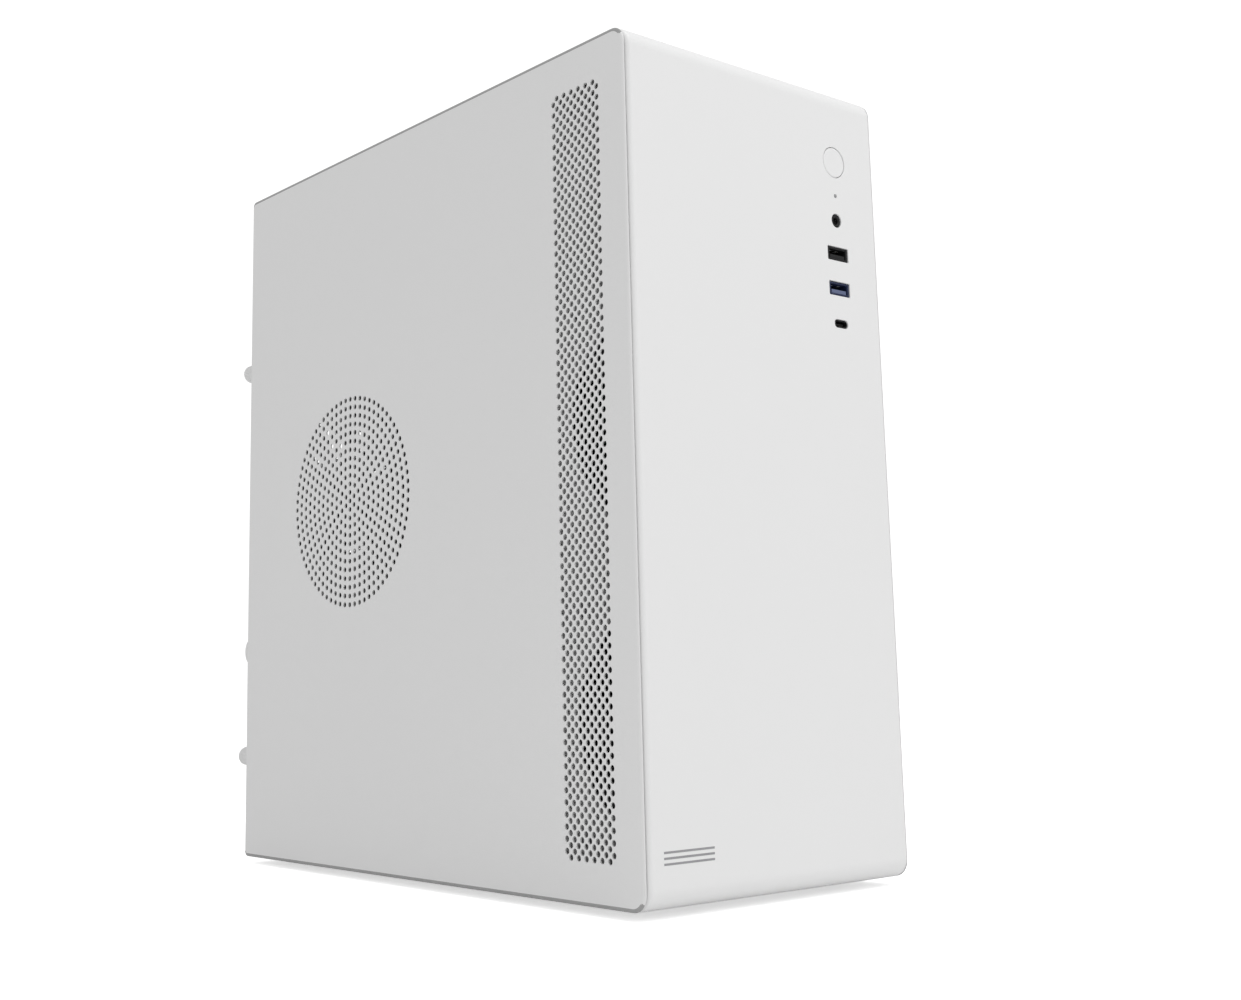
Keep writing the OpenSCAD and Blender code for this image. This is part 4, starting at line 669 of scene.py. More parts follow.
def build_spread_tree():
    """Copies of one element on every point of a second mesh."""
    tree, given, out = open_tree(
        "Copies on points", "GeometryNodeTree",
        [("Points", GEOMETRY), ("Element", "NodeSocketObject"), ("Finish", "NodeSocketMaterial")],
        [("Geometry", GEOMETRY)])
    element = put(tree, "GeometryNodeObjectInfo", Object=given["Element"])
    copies = put(tree, "GeometryNodeInstanceOnPoints", Points=given["Points"],
                 Instance=element.outputs["Geometry"])
    plain = put(tree, "GeometryNodeRealizeInstances", Geometry=copies.outputs[0])
    painted = put(tree, "GeometryNodeSetMaterial", Geometry=plain.outputs[0], Material=given["Finish"])
    tree.links.new(painted.outputs[0], out.inputs[0])
    return tree


def build_wire_tree():
    """Round wires swept along a drawing of lines."""
    tree, given, out = open_tree(
        "Wires", "GeometryNodeTree",
        [("Lines", GEOMETRY), ("Wire diameter", FLOAT, 0.0016), ("Finish", "NodeSocketMaterial")],
        [("Geometry", GEOMETRY)])
    curve = put(tree, "GeometryNodeMeshToCurve", Mesh=given["Lines"])
    section = put(tree, "GeometryNodeCurvePrimitiveCircle", Resolution=8,
                  Radius=math_of(tree, "MULTIPLY", given["Wire diameter"], 0.5))
    wire = put(tree, "GeometryNodeCurveToMesh", Curve=curve.outputs[0], Profile_Curve=section.outputs[0],
               Fill_Caps=True)
    plain = put(tree, "GeometryNodeRealizeInstances", Geometry=wire.outputs[0])
    painted = put(tree, "GeometryNodeSetMaterial", Geometry=plain.outputs[0], Material=given["Finish"])
    tree.links.new(painted.outputs[0], out.inputs[0])
    return tree


TREES = {}


def grow(mesh, tree, **values):
    """Run a tree over a mesh and give back the plain mesh that it makes."""
    holder = link("grown", mesh)
    step = holder.modifiers.new("Grow", "NODES")
    step.node_group = TREES[tree]
    for item in TREES[tree].interface.items_tree:
        key = item.name.replace(" ", "_")
        if item.in_out == "INPUT" and key in values:
            step[item.identifier] = values[key]
    plain = bpy.data.meshes.new_from_object(holder.evaluated_get(bpy.context.evaluated_depsgraph_get()))
    bpy.data.objects.remove(holder)
    return plain


def copies_at(element, points, finish_name):
    """The element's mesh at each point."""
    tool = link("element", element)
    made = grow(raw("points", points, []), "spread", Element=tool, Finish=FINISH[finish_name])
    bpy.data.objects.remove(tool)
    return made


def loft(loops, closed=False):
    """A closed solid through loops of equal length; closed joins the last loop to the first."""
    size = len(loops[0])
    points = [p for loop in loops for p in loop]
    faces = []
    rows = list(zip(range(len(loops) - 1), range(1, len(loops))))
    if closed:
        rows.append((len(loops) - 1, 0))
    for a, b in rows:
        for k in range(size):
            m = (k + 1) % size
            faces.append((a * size + k, a * size + m, b * size + m, b * size + k))
    if not closed:
        faces += [tuple(range(size)), tuple(range((len(loops) - 1) * size, len(loops) * size))]
    return tidy(raw("loft", points, faces))


def through(outline, centre, depths):
    """A solid along Y: the outline, a function of how far it stands out, at each (distance, outset)."""
    return loft([[(centre[0] + u, centre[1] + away, centre[2] + v) for u, v in outline(more)]
                 for away, more in depths])


def box_outline(width, height, radius, steps=4):
    return lambda more: rounded(-width / 2 - more, -height / 2 - more, width / 2 + more, height / 2 + more,
                                radius + more if radius + more > 0 else 1e-5, steps)


def disc_outline(radius, steps=48):
    return lambda more: circle(0, 0, radius + more, steps)


# ---- Pieces ----

class BuildStep:
    """Shared by every operator here."""

    bl_options = {"REGISTER", "UNDO"}


class TOWER_OT_finishes(BuildStep, bpy.types.Operator):
    """Make every finish and put it on the CAD nodes that stay"""

    bl_idname = "tower.finishes"
    bl_label = "Finishes"

    def execute(self, context):
        GROUPS.update(tone=build_tone_group(), relief=build_relief_group(), drawn=build_brushed_group(),
                      spangle=build_spangle_group(), braid=build_braid_group(), tracks=build_trace_group())
        TREES.update(perforated=build_perforated_tree(), ring=build_ring_tree(), spread=build_spread_tree(),
                     wire=build_wire_tree())
        s = context.scene.tower_finish
        finish("white_steel", tuple(s.paint), 0.42, tone=0.012, drift_size=0.09, grain=0.0007, depth=0.00003,
               pits=0.35)
        # Painted shade: the paint darkened to 0.45, put on the side panels' rolled top and bottom edges to
        # stand in for the shadow along them
        finish("thin_paint", tuple(0.45 * c for c in s.paint), 0.5, tone=0.03, drift_size=0.02, grain=0.0007,
               depth=0.00003, pits=0.35)
        finish("white_plastic", tuple(s.moulding), 0.46, tone=0.01, drift_size=0.12, grain=0.00028,
               depth=0.000012,
               pits=0.5, sharp=0.7)
        finish("zinc_steel", (0.56, 0.57, 0.58), 0.36, metallic=1.0, spangle=0.12, drawn=(1.0, 0.05, 1.0),
               grain=0.0006, depth=0.000006)
        finish("screw_steel", (0.6, 0.6, 0.61), 0.3, metallic=1.0, grain=0.0002, depth=0.000006, tone=0.08,
               drift_size=0.002)
        finish("rubber", (0.022, 0.022, 0.023), 0.78, tone=0.2, drift_size=0.01, grain=0.0003, depth=0.00004,
               pits=0.6, sharp=0.7)
        finish("black_plastic", (0.007, 0.007, 0.008), 0.55, tone=0.15, drift_size=0.02, grain=0.00025,
               Specular_IOR_Level=0.3,
               depth=0.000015, pits=0.5, sharp=0.7)
        finish("blue_plastic", (0.012, 0.02, 0.062), 0.5, tone=0.1, drift_size=0.01, grain=0.0002,
               depth=0.00001,
               Specular_IOR_Level=0.3,
               pits=0.4)
        finish("clear_plastic", (0.93, 0.94, 0.95), 0.12, tone=0.02, grain=0.0003, depth=0.000002,
               Transmission_Weight=0.7, IOR=1.49)
        finish("board_laminate", (0.012, 0.055, 0.034), 0.34, tone=0.08, tracks=True, grain=0.0008,
               depth=0.00002)
        finish("brass", (0.62, 0.44, 0.17), 0.28, metallic=1.0, drawn=(1.0, 0.05, 1.0), grain=0.0002,
               depth=0.000005)
        finish("bare_aluminium", (0.74, 0.75, 0.76), 0.3, metallic=1.0, drawn=(0.04, 1.0, 1.0), grain=0.0003,
               depth=0.000006)
        finish("grey_plastic", (0.05, 0.05, 0.053), 0.4, tone=0.1, drift_size=0.02, grain=0.00025,
               depth=0.000012,
               pits=0.4)
        finish("cable_sleeve", (0.018, 0.018, 0.02), 0.6, tone=0.25, drift_size=0.006, braid=0.0024,
               depth=0.0003)
        finish("grey_paint", (0.05, 0.05, 0.052), 0.48, tone=0.05, drift_size=0.06, grain=0.0006,
               depth=0.00004,
               pits=0.6)
        finish("cast_aluminium", (0.5, 0.505, 0.51), 0.42, metallic=1.0, tone=0.06, grain=0.0005,
               depth=0.00003,
               pits=0.7, sharp=0.7)
        finish("gold_contact", (0.85, 0.6, 0.25), 0.22, metallic=1.0, grain=0.0001, depth=0.000002)
        finish("printed_ink", tuple(s.ink), 0.5, tone=0.05, drift_size=0.004, grain=0.0002, depth=0.000006)
        finish("blue_tongue", (0.1, 0.125, 0.23), 0.5, tone=0.06, drift_size=0.004, grain=0.0002,
               depth=0.00001)
        for name, obj in NODES.items():
            if not obj.data.materials:
                obj.data.materials.append(None)
            for slot in obj.material_slots:
                slot.link = "OBJECT"
                slot.material = FINISH[SLOT_OF[name]]
        return {"FINISHED"}


def panel_outline(lo, hi, s, inset, steps=14):
    """The panel's outline in Y and Z, drawn in by inset."""
    points = []
    for y, z, radius, start in ((hi.y, hi.z, s.back_radius, 0), (lo.y, hi.z, s.front_radius, 90),
                                (lo.y, lo.z, s.front_radius, 180), (hi.y, lo.z, s.back_radius, 270)):
        cy = y - radius if start in (0, 270) else y + radius
        cz = z - radius if start in (0, 90) else z + radius
        for k in range(steps + 1):
            a = math.radians(start + 90 * k / steps)
            points.append((cy + (radius - inset) * math.cos(a), cz + (radius - inset) * math.sin(a)))
    return points


def side_panel(side, s):
    """The whole folded panel on one side, -1 for the left with its round vent."""
    node = "left_side_panel" if side < 0 else "right_side_panel"
    lo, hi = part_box(node)
    face = lo.x if side < 0 else hi.x
    t, bend, shoulder = s.sheet, s.sheet, s.shoulder
    flat = panel_outline(lo, hi, s, shoulder)
    drawing = bpy.data.meshes.new("outline")
    drawing.from_pydata([(y, z, 0.0) for y, z in flat], [(k, (k + 1) % len(flat)) for k in range(len(flat))],
                        [])
    rows = int((hi.z - lo.z - 2 * s.strip_low) / s.row_pitch + 1e-6) + 1
    front_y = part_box("front_bezel")[0].y
    sheet = grow(
        drawing, "perforated", Hole_diameter=s.hole, Wide_row=s.columns,
        Strip_holes=(rows + 1) // 2 * (s.columns - 1) + rows // 2 * s.columns, Column_pitch=s.strip_pitch,
        Row_pitch=s.row_pitch, Strip_start=(front_y + s.strip_start, lo.z + s.strip_low, 0.0),
        Vent_holes=(1 + 3 * s.vent_rings * (s.vent_rings + 1)) if side < 0 else 0, Ring_pitch=s.ring_pitch,
        Vent_middle=(hi.y - s.vent_back, lo.z + s.vent_height, 0.0), Sheet=t, Finish=FINISH["white_steel"])
    sheet.transform(Matrix(((0, 0, 1, min(face, face - side * t)), (1, 0, 0, 0), (0, 1, 0, 0), (0, 0, 0, 1))))
    section = [(bend * (1 - math.cos(math.radians(a))), shoulder * (1 - math.sin(math.radians(a))))
               for a in range(0, 91, 15)] + [(t, shoulder)]
    band = loft([[(face - side * away, y, z) for y, z in panel_outline(lo, hi, s, inset)]
                 for away, inset in section], closed=True)
    x1, x_hem, x_lip = (face - side * w for w in (t, s.hem, s.lip))
    parts = [tidy(sheet), band]
    hem_y0 = front_y + FRAME_BACK
    for z in (lo.z, hi.z - t):
        parts.append(block((min(x1, x_hem), hem_y0, z), (max(x1, x_hem), hi.y - s.back_radius, z + t)))
    holes = [circle(lo.z + up, face - side * THUMB_INSET, THUMB_HOLE) for up in THUMB_HEIGHTS]
    if side < 0:
        z0, z1, x0, x2 = LOCK_SLOT
        holes.append(corners(lo.z + z0, lo.z + z1, face + x0, face + x2))
    lip = corners(lo.z + s.back_radius, hi.z - s.back_radius, min(x1, x_lip), max(x1, x_lip))
    parts.append(plate([lip] + holes, hi.y - t, hi.y, "Y"))
    frame_y1 = hi.y - FRAME_SHORT
    for y in (hem_y0 + 0.008, (hem_y0 + frame_y1) / 2, frame_y1 - 0.062):
        for z in (lo.z + HOOK_HEIGHTS[0], hi.z - HOOK_HEIGHTS[1]):
            for a, b, y0, y1 in ((0, 0.004, y, y + 0.008), (0.002, 0.004, y - 0.005, y)):
                xs = sorted((x1 - side * a, x1 - side * b))
                parts.append(block((xs[0], y0, z), (xs[1], y1, z + HOOK_THICK)))
    whole = join(node, [dressed(part, "white_steel") for part in parts])
    # Painted shade: faces of the rolled band near the top and bottom edges take the darker painted-shade
    # finish
    whole.materials.append(FINISH["thin_paint"])
    for one in whole.polygons:
        rolled = abs(one.center.x - face) < bend and abs(one.normal.x) < 0.9995
        if rolled and min(one.center.z - lo.z, hi.z - one.center.z) < s.front_radius / 2:
            one.material_index = 1
    return settle(link(node + "_sheet", whole), node, "white_steel", node)


class TOWER_OT_side_panels(BuildStep, bpy.types.Operator):
    """Fold and perforate both side panels"""

    bl_idname = "tower.side_panels"
    bl_label = "Side panels"

    def execute(self, context):
        for side in (-1, 1):
            side_panel(side, context.scene.tower_panels)
        return {"FINISHED"}


def front_solid(half, front, back, low, high, end_radius, side_radius, steps=16):
    """A closed block with round ends along the top and bottom and a small radius all along its sides."""
    path = [((back, low), (0.0, -1.0))]
    for k in range(steps + 1):
        a = math.radians(90 * k / steps)
        n = (-math.sin(a), -math.cos(a))
        path.append(((front + end_radius + end_radius * n[0], low + end_radius + end_radius * n[1]), n))
    for k in range(steps + 1):
        a = math.radians(90 * k / steps)
        n = (-math.cos(a), math.sin(a))
        path.append(((front + end_radius + end_radius * n[0], high - end_radius + end_radius * n[1]), n))
    path.append(((back, high), (0.0, 1.0)))
    across = []
    for k in range(9):
        a = math.radians(90 - 90 * k / 8)
        across.append((-(half - side_radius) - side_radius * math.sin(a), side_radius * (1 - math.cos(a))))
    across += [(-x, inset) for x, inset in reversed(across)]
    width = len(across)
    points = [(x, p[0] - n[0] * inset, p[1] - n[1] * inset) for p, n in path for x, inset in across]
    faces = []
    for i in range(len(path) - 1):
        for j in range(width - 1):
            faces.append((i * width + j, i * width + j + 1, (i + 1) * width + j + 1, (i + 1) * width + j))
    last = (len(path) - 1) * width
    faces.append(tuple(i * width for i in range(len(path))))
    faces.append(tuple(i * width + width - 1 for i in range(len(path))))
    faces.append(tuple(range(width)) + tuple(last + j for j in reversed(range(width))))
    return tidy(raw("front", points, faces))


def front_places():
    """Where the controls stand: the column's X and the front face's Y."""
    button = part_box("power_button")
    return (button[0].x + button[1].x) / 2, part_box("front_bezel")[0].y


def middle_z(node):
    lo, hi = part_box(node)
    return (lo.z + hi.z) / 2


class TOWER_OT_front(BuildStep, bpy.types.Operator):
    """Mould the front, with its openings, pins and printed lines"""

    bl_idname = "tower.front"
    bl_label = "Front"

    def execute(self, context):
        s = context.scene.tower_front
        lo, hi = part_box("front_bezel")
        x, y = front_places()
        back = y + BEZEL_DEPTH
        obj = link("front_moulding", front_solid(hi.x, y, back, lo.z, hi.z, s.end_radius, s.side_radius))
        w = s.wall
        cutters = [front_solid(hi.x - w, y + w, back + 0.002, lo.z + w, hi.z - w, s.end_radius - w, 0.0004)]
        deep = [(-0.001, 0.0002), (0.0, 0.0002), (0.0002, 0.0), (0.006, 0.0)]
        for node, outline in (("power_button", disc_outline(0.0083, 64)),
                              ("status_light", disc_outline(0.00102, 24)),
                              ("audio_jack", disc_outline(0.0037, 48)),
                              ("usb_port_black", box_outline(0.0158, 0.0074, 0.0006)),
                              ("usb_port_blue", box_outline(0.0158, 0.0074, 0.0006)),
                              ("usb_c_port", box_outline(0.0103, 0.0044, 0.0021, 8))):
            cutters.append(through(outline, (x, y, middle_z(node)), deep))
        carve(obj, cutters)
        pin = [(w / 2, 0), (PIN_END, 0), (PIN_END + 0.0005, -0.0005)]
        extra = [through(disc_outline(PIN_RADIUS, 24), (side * (hi.x - 0.013), y, z), pin)
                 for side in (-1, 1) for z in (lo.z + 0.024, (lo.z + hi.z) / 2, hi.z - 0.024)]
        button_z = middle_z("power_button")
        ring = [(0.0083, w * 0.9), (0.0105, w * 0.9), (0.0105, w / 2 + 0.004), (0.0083, w / 2 + 0.004)]
        extra.append(turned(ring, (x, y, button_z)))
        for up in RIB_HEIGHTS:
            extra.append(block((-hi.x + w - 0.0002, y + w - 0.0002, lo.z + up),
                               (hi.x - w + 0.0002, y + 0.0045, lo.z + up + RIB_THICK)))
        whole = join("front_moulding", [obj.data] + extra)
        obj.data = dressed(whole, "white_plastic")
        settle(obj, "front_bezel", "white_plastic", "front_bezel")
        left, low = lo.x + 0.0088, lo.z + 0.0202 - s.line_width / 2
        lines = [block((left, y - 0.00004, low + k * s.line_pitch),
                       (left + s.line_length, y + 0.0001, low + k * s.line_pitch + s.line_width))
                 for k in range(3)]
        mark = link("printed_lines", join("printed_lines", [dressed(one, "printed_ink") for one in lines]))
        settle(mark, "front_bezel", "grey_plastic", weighted=False)
        return {"FINISHED"}


class TOWER_OT_controls(BuildStep, bpy.types.Operator):
    """Turn the power button and the status light's lens"""

    bl_idname = "tower.controls"
    bl_label = "Button and light"

    def execute(self, context):
        x, y = front_places()
        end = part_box("power_button")[1].y
        face, lip = y + 0.0001, y + 0.0057
        dish = [(0.0, 0.00015), (0.003, 0.00013), (0.0055, 0.00007), (0.0069, 0.00002), (0.00745, 0.0),
                (0.00765, 0.00005), (0.00785, 0.00016), (0.00796, 0.00032), (0.008, 0.00055)]
        profile = [(r, away + face - y) for r, away in dish]
        profile += [(0.008, lip - y), (0.0095, lip - y), (0.0095, lip - y + 0.0012),
                    (0.0025, lip - y + 0.0012),
                    (0.0025, end - y), (0.0, end - y)]
        cap = turned(profile, (x, y, middle_z("power_button")), steps=96)
        cap = link("button_cap", dressed(cap, "white_plastic"))
        settle(cap, "power_button", "white_plastic", "power_button")
        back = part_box("status_light")[1].y
        dome = [(0.0, -0.00012), (0.0004, -0.0001), (0.0007, -0.00004), (0.00092, 0.00006), (0.001, 0.0002),
                (0.001, back - y - 0.0004), (0.0008, back - y), (0.0, back - y)]
        lens = turned(dome, (x, y, middle_z("status_light")), steps=32)
        lens = link("light_lens", dressed(lens, "clear_plastic"))
        settle(lens, "front_bezel", "clear_plastic", "status_light")
        return {"FINISHED"}


def flat_socket(node, shell, tongue_finish, body="case"):
    """A flat socket's housing, tongue and four contacts."""
    lo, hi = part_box(node)
    x, z, y = (lo.x + hi.x) / 2, (lo.z + hi.z) / 2, lo.y
    width, height = hi.x - lo.x, hi.z - lo.z
    obj = link(node + "_socket", through(box_outline(width, height, 0.0004), (x, y, z),
                                         [(0.0, -0.0002), (0.0002, 0.0), (hi.y - y, 0.0)]))
    mouth = [(-0.001, 0.0003), (0.0, 0.0003), (0.0003, 0.0), (0.011, 0.0)]
    carve(obj, [through(box_outline(0.0125, 0.0049, 0.0003), (x, y, z), mouth)])
    tongue = block((x - 0.0056, y + 0.0004, z - 0.00245), (x + 0.0056, y + 0.011, z - 0.0004), 0.0002)
    pins = copies_at(block((-0.0005, 0.0, 0.0), (0.0005, 0.0085, 0.00012), 0.00004),
                     [(x + (k - 1.5) * USB_PITCH, y + 0.002, z - 0.00043) for k in range(4)], "gold_contact")
    springs = copies_at(block((-0.0011, 0.0, 0.0), (0.0011, 0.007, 0.0002), 0.00008),
                        [(x + off, y + 0.003, z + 0.00225) for off in (-0.003, 0.003)], "zinc_steel")
    obj.data = join(obj.name, [dressed(obj.data, shell), dressed(tongue, tongue_finish), pins, springs])
    return settle(obj, body, SLOT_OF[node], node)


class TOWER_OT_front_sockets(BuildStep, bpy.types.Operator):
    """Make the sockets that show in the front"""

    bl_idname = "tower.front_sockets"
    bl_label = "Front sockets"

    def execute(self, context):
        flat_socket("usb_port_black", "black_plastic", "black_plastic")
        flat_socket("usb_port_blue", "blue_plastic", "blue_tongue")
        lo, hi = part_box("audio_jack")
        x, y, z = (lo.x + hi.x) / 2, lo.y, (lo.z + hi.z) / 2
        length = hi.y - lo.y
        ring = [(0.0018, 0.0006), (0.0021, 0.0002), (0.0025, 0.0), (0.003, 0.0), (0.0033, 0.0002),
                (0.0034, 0.0005),
                (0.0034, 0.0056), (0.0034, length), (0.0018, length)]
        sleeve = [(0.00172, 0.0022), (0.0018, 0.002), (0.0018, 0.006), (0.00172, 0.006)]
        body = link("jack_body", block((x - 0.0045, y + 0.0056, z - 0.0045), (x + 0.0045, hi.y, z + 0.0045),
                                       0.0003))
        carve(body, [through(disc_outline(0.003, 32), (x, y, z), [(0.004, 0), (0.02, 0)])])
        body.data = join("jack_body", [dressed(body.data, "black_plastic"),
                                       dressed(turned(ring, (x, y, z)), "black_plastic"),
                                       dressed(turned(sleeve, (x, y, z)), "screw_steel")])
        settle(body, "case", "black_plastic", "audio_jack")
        lo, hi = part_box("usb_c_port")
        x, y, z = (lo.x + hi.x) / 2, lo.y, (lo.z + hi.z) / 2
        w, h = hi.x - lo.x, hi.z - lo.z
        shell = link("oval_socket", through(box_outline(w, h, h / 2 - 0.00001, 10), (x, y, z),
                                            [(0.0, -0.00015), (0.00015, 0.0), (hi.y - y, 0.0)]))
        mouth = through(box_outline(0.0084, 0.0026, 0.00129, 10), (x, y, z), [(-0.001, 0.0), (0.008, 0.0)])
        carve(shell, [mouth])
        tongue = block((x - 0.0033, y + 0.0015, z - 0.00035), (x + 0.0033, y + 0.0085, z + 0.00035), 0.00015)
        pads = copies_at(block((-0.00014, 0.0, 0.0), (0.00014, 0.0045, 0.00006)),
                         [(x + (k - 5.5) * PAD_PITCH, y + 0.0019, z + side)
                          for k in range(12) for side in (0.00033, -0.00039)], "gold_contact")
        shell.data = join("oval_socket", [dressed(shell.data, "black_plastic"),
                                          dressed(tongue, "black_plastic"), pads])
        settle(shell, "case", "black_plastic", "usb_c_port")
        return {"FINISHED"}


class TOWER_OT_thumbscrews(BuildStep, bpy.types.Operator):
    """Knurl the four captive thumbscrews"""

    bl_idname = "tower.thumbscrews"
    bl_label = "Thumbscrews"

    def execute(self, context):
        head = [(0.0, 0.0), (0.0045, 0.0), (0.0045, 0.0014), (0.0041, 0.0016), (0.0041, 0.0026),
                (0.0049, 0.0028),
                (0.0052, 0.0031), (0.0052, 0.0131), (0.0049, 0.0136), (0.0042, 0.01385), (0.003, 0.01397),
                (0.0, 0.014)]
        shank = [(0.0, -0.007), (0.0012, -0.007), (0.0016, -0.0066)]
        for k in range(9):
            shank += [(0.0017, -0.0063 + k * 0.0007), (0.0014, -0.00595 + k * 0.0007)]
        shank += [(0.0017, 0.0), (0.0017, 0.001), (0.0, 0.001)]
        ridge = loft([[(0.00505, -0.0003, z), (0.0055 - cut, 0.0, z), (0.00505, 0.0003, z)]
                      for z, cut in ((0.0032, 0.0003), (0.0036, 0.0), (0.0127, 0.0), (0.0131, 0.0003))])
        ridges = grow(ridge, "ring", Count=40, Finish=FINISH["white_steel"])
        core = link("core", turned(head, (0, 0, 0), "Z", 64))
        arms = [block((-a, -b, 0.0122), (a, b, 0.015)) for a, b in ((0.0026, 0.0006), (0.0006, 0.0026))]
        carve(core, arms)
        plain = join("thumbscrew", [dressed(core.data, "white_steel"), ridges,
                                    dressed(turned(shank, (0, 0, 0), "Z", 24), "screw_steel")])
        bpy.data.objects.remove(core)
        for node in ("left_upper_thumbscrew", "left_lower_thumbscrew", "right_upper_thumbscrew",
                     "right_lower_thumbscrew"):
            lo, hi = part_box(node)
            mesh = plain.copy()
            turn = Matrix.Rotation(-math.pi / 2, 4, "X")
            seat = Vector(((lo.x + hi.x) / 2, hi.y - THUMB_HEAD, (lo.z + hi.z) / 2))
            mesh.transform(Matrix.Translation(seat) @ turn)
            settle(link(node + "_knurled", mesh), node, "white_steel", node)
        return {"FINISHED"}


class TOWER_OT_feet(BuildStep, bpy.types.Operator):
    """Mould the four rubber feet"""

    bl_idname = "tower.feet"
    bl_label = "Feet"

    def execute(self, context):
        feet = []
        for _, lo, hi in solids_of("feet"):
            r = (hi.x - lo.x) / 2
            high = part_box("base_plate")[0].z
            profile = [(0.0, 0.0008), (0.0022, 0.0008), (0.0026, 0.0), (0.0062, 0.0), (0.0064, 0.0004),
                       (0.0068, 0.0004), (0.007, 0.0), (r - 0.0011, 0.0), (r - 0.0004, 0.0003),
                       (r - 0.0001, 0.0009), (r, 0.0016), (r - 0.0003, high - 0.0002), (r - 0.0006, high),
                       (0.0025, high), (0.0025, hi.z - 0.0006),
                       (0.002, hi.z), (0.0, hi.z)]
            foot = turned(profile, ((lo.x + hi.x) / 2, (lo.y + hi.y) / 2, lo.z), "Z", 64)
            feet.append(dressed(foot, "rubber"))
        settle(link("rubber_feet", join("rubber_feet", feet)), "case", "rubber", "feet")
        return {"FINISHED"}


def facing(axis, towards):
    """The turn that takes local Z to one way along an axis."""
    aim = Vector([towards if i == axis else 0 for i in range(3)])
    return aim.to_track_quat("Z", "Y").to_matrix().to_4x4()


def fan_blade(hub, tip, low, high, turn_hub=0.34, turn_tip=0.42, thick=0.0011):
    """One curved blade between two radii, as a closed solid round the local Z axis."""
    loops = []
    for i in range(7):
        share = i / 6
        radius = hub + (tip - hub) * share
        half = turn_hub + (turn_tip - turn_hub) * share
        upper, lower = [], []
        for j in range(9):
            u = j / 8
            angle = -half + 2 * half * u + 0.16 * share
            z = low + (high - low) * (u ** 1.25)
            body = thick * math.sin(math.pi * (0.08 + 0.84 * u)) ** 0.5
            upper.append((radius * math.cos(angle), radius * math.sin(angle), min(z + body / 2, high)))
            lower.append((radius * math.cos(angle), radius * math.sin(angle), max(z - body / 2, low)))
        loops.append(upper + lower[::-1])
    return loft(loops)


class TOWER_OT_fans(BuildStep, bpy.types.Operator):
    """Make the four fan rotors"""

    bl_idname = "tower.fans"
    bl_label = "Fans"

    def execute(self, context):
        for name, axis, blades in (("cpu", 0, 9), ("psu", 2, 9), ("rear", 1, 9), ("front", 1, 9)):
            rotor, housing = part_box(f"{name}_fan_rotor"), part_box(f"{name}_fan_frame")
            towards = 1 if rotor[0][axis] - housing[0][axis] < housing[1][axis] - rotor[1][axis] else -1
            others = [i for i in range(3) if i != axis]
            tip = (rotor[1][others[0]] - rotor[0][others[0]]) / 2
            depth = housing[1][axis] - housing[0][axis]
            hub = 0.015 if name == "cpu" else 0.018
            top, low = depth - 0.0015, 0.0035
            cup = [(0.0, 0.0006), (0.0014, 0.0006), (0.0015, 0.0008), (0.0015, top - 0.0035),
                   (hub - 0.0016, top - 0.0035),
                   (hub - 0.0016, low), (hub, low), (hub, top - 0.0014), (hub - 0.0004, top - 0.0006),
                   (hub - 0.0012, top), (0.0118, top), (0.0116, top - 0.0002), (0.0, top - 0.0002)]
            blade = fan_blade(hub - 0.0008, tip - 0.0001, low + 0.0006, depth - 0.0024)
            ring = grow(blade, "ring", Count=blades, Finish=FINISH["grey_plastic"])
            cup = dressed(turned(cup, (0, 0, 0), "Z", 64), "grey_plastic")
            whole = join(f"{name}_fan_blades", [ring, cup])
            centre = (rotor[0] + rotor[1]) / 2
            centre[axis] = housing[0][axis] if towards > 0 else housing[1][axis]
            whole.transform(Matrix.Translation(centre) @ facing(axis, towards))
            node = f"{name}_fan_rotor"
            settle(link(f"{name}_fan_blades", whole), node, "grey_plastic", node)
        return {"FINISHED"}


class TOWER_OT_supply_grille(BuildStep, bpy.types.Operator):
    """Bend the wire guard under the power supply's fan"""

    bl_idname = "tower.supply_grille"
    bl_label = "Supply grille"

    def execute(self, context):
        lo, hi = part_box("psu_fan_grille")
        centre, wire = (lo + hi) / 2, 0.0014
        reach = min(hi.x - lo.x, hi.y - lo.y) / 2 - wire / 2
        points, edges = [], []
        for k in range(1, 9):
            ring = [(u, v, lo.z + wire / 2) for u, v in circle(centre.x, centre.y, reach * k / 8.0 * 0.93,
                                                               72)]
            first = len(points)
            points += ring
            edges += [(first + i, first + (i + 1) % len(ring)) for i in range(len(ring))]
        for k in range(4):
            a = math.radians(45 + 90 * k)
            first = len(points)
            points += [(centre.x + r * math.cos(a), centre.y + r * math.sin(a), hi.z - wire / 2)
                       for r in (reach * 0.1, reach * 0.99)]
            edges.append((first, first + 1))
        drawing = bpy.data.meshes.new("grille lines")
        drawing.from_pydata(points, edges, [])
        wires = grow(drawing, "wire", Wire_diameter=wire, Finish=FINISH["zinc_steel"])
        settle(link("supply_wire_guard", wires), "case", "zinc_steel", "psu_fan_grille", weighted=False)
        return {"FINISHED"}


def pan_screw(head_r, head_h, shank_r, length):
    """A pan-head screw with a cross recess; its head stands on local z = 0 and its thread runs down."""
    head = [(head_r * r, head_h * h) for r, h in ((0.0, 0.0), (1.0, 0.0), (1.0, 0.35), (0.93, 0.65),
                                                  (0.75, 0.9),
                                                  (0.45, 1.0), (0.0, 1.0))]
    core = link("head", turned(head, (0, 0, 0), "Z", 28))
    arm, thin = head_r * 0.62, head_r * 0.13
    carve(core, [block((-a, -b, head_h * 0.4), (a, b, head_h * 1.3)) for a, b in ((arm, thin), (thin, arm))])
    turns = max(3, int(length / 0.0007))
    thread = [(0.0, -length), (shank_r * 0.7, -length)]
    for k in range(turns):
        z = -length + (k + 0.4) * length / turns
        thread += [(shank_r, z), (shank_r * 0.82, z + 0.45 * length / turns)]
    thread += [(shank_r, 0.0001), (0.0, 0.0001)]
    whole = join("screw", [core.data, turned(thread, (0, 0, 0), "Z", 16)])
    bpy.data.objects.remove(core)
    return whole


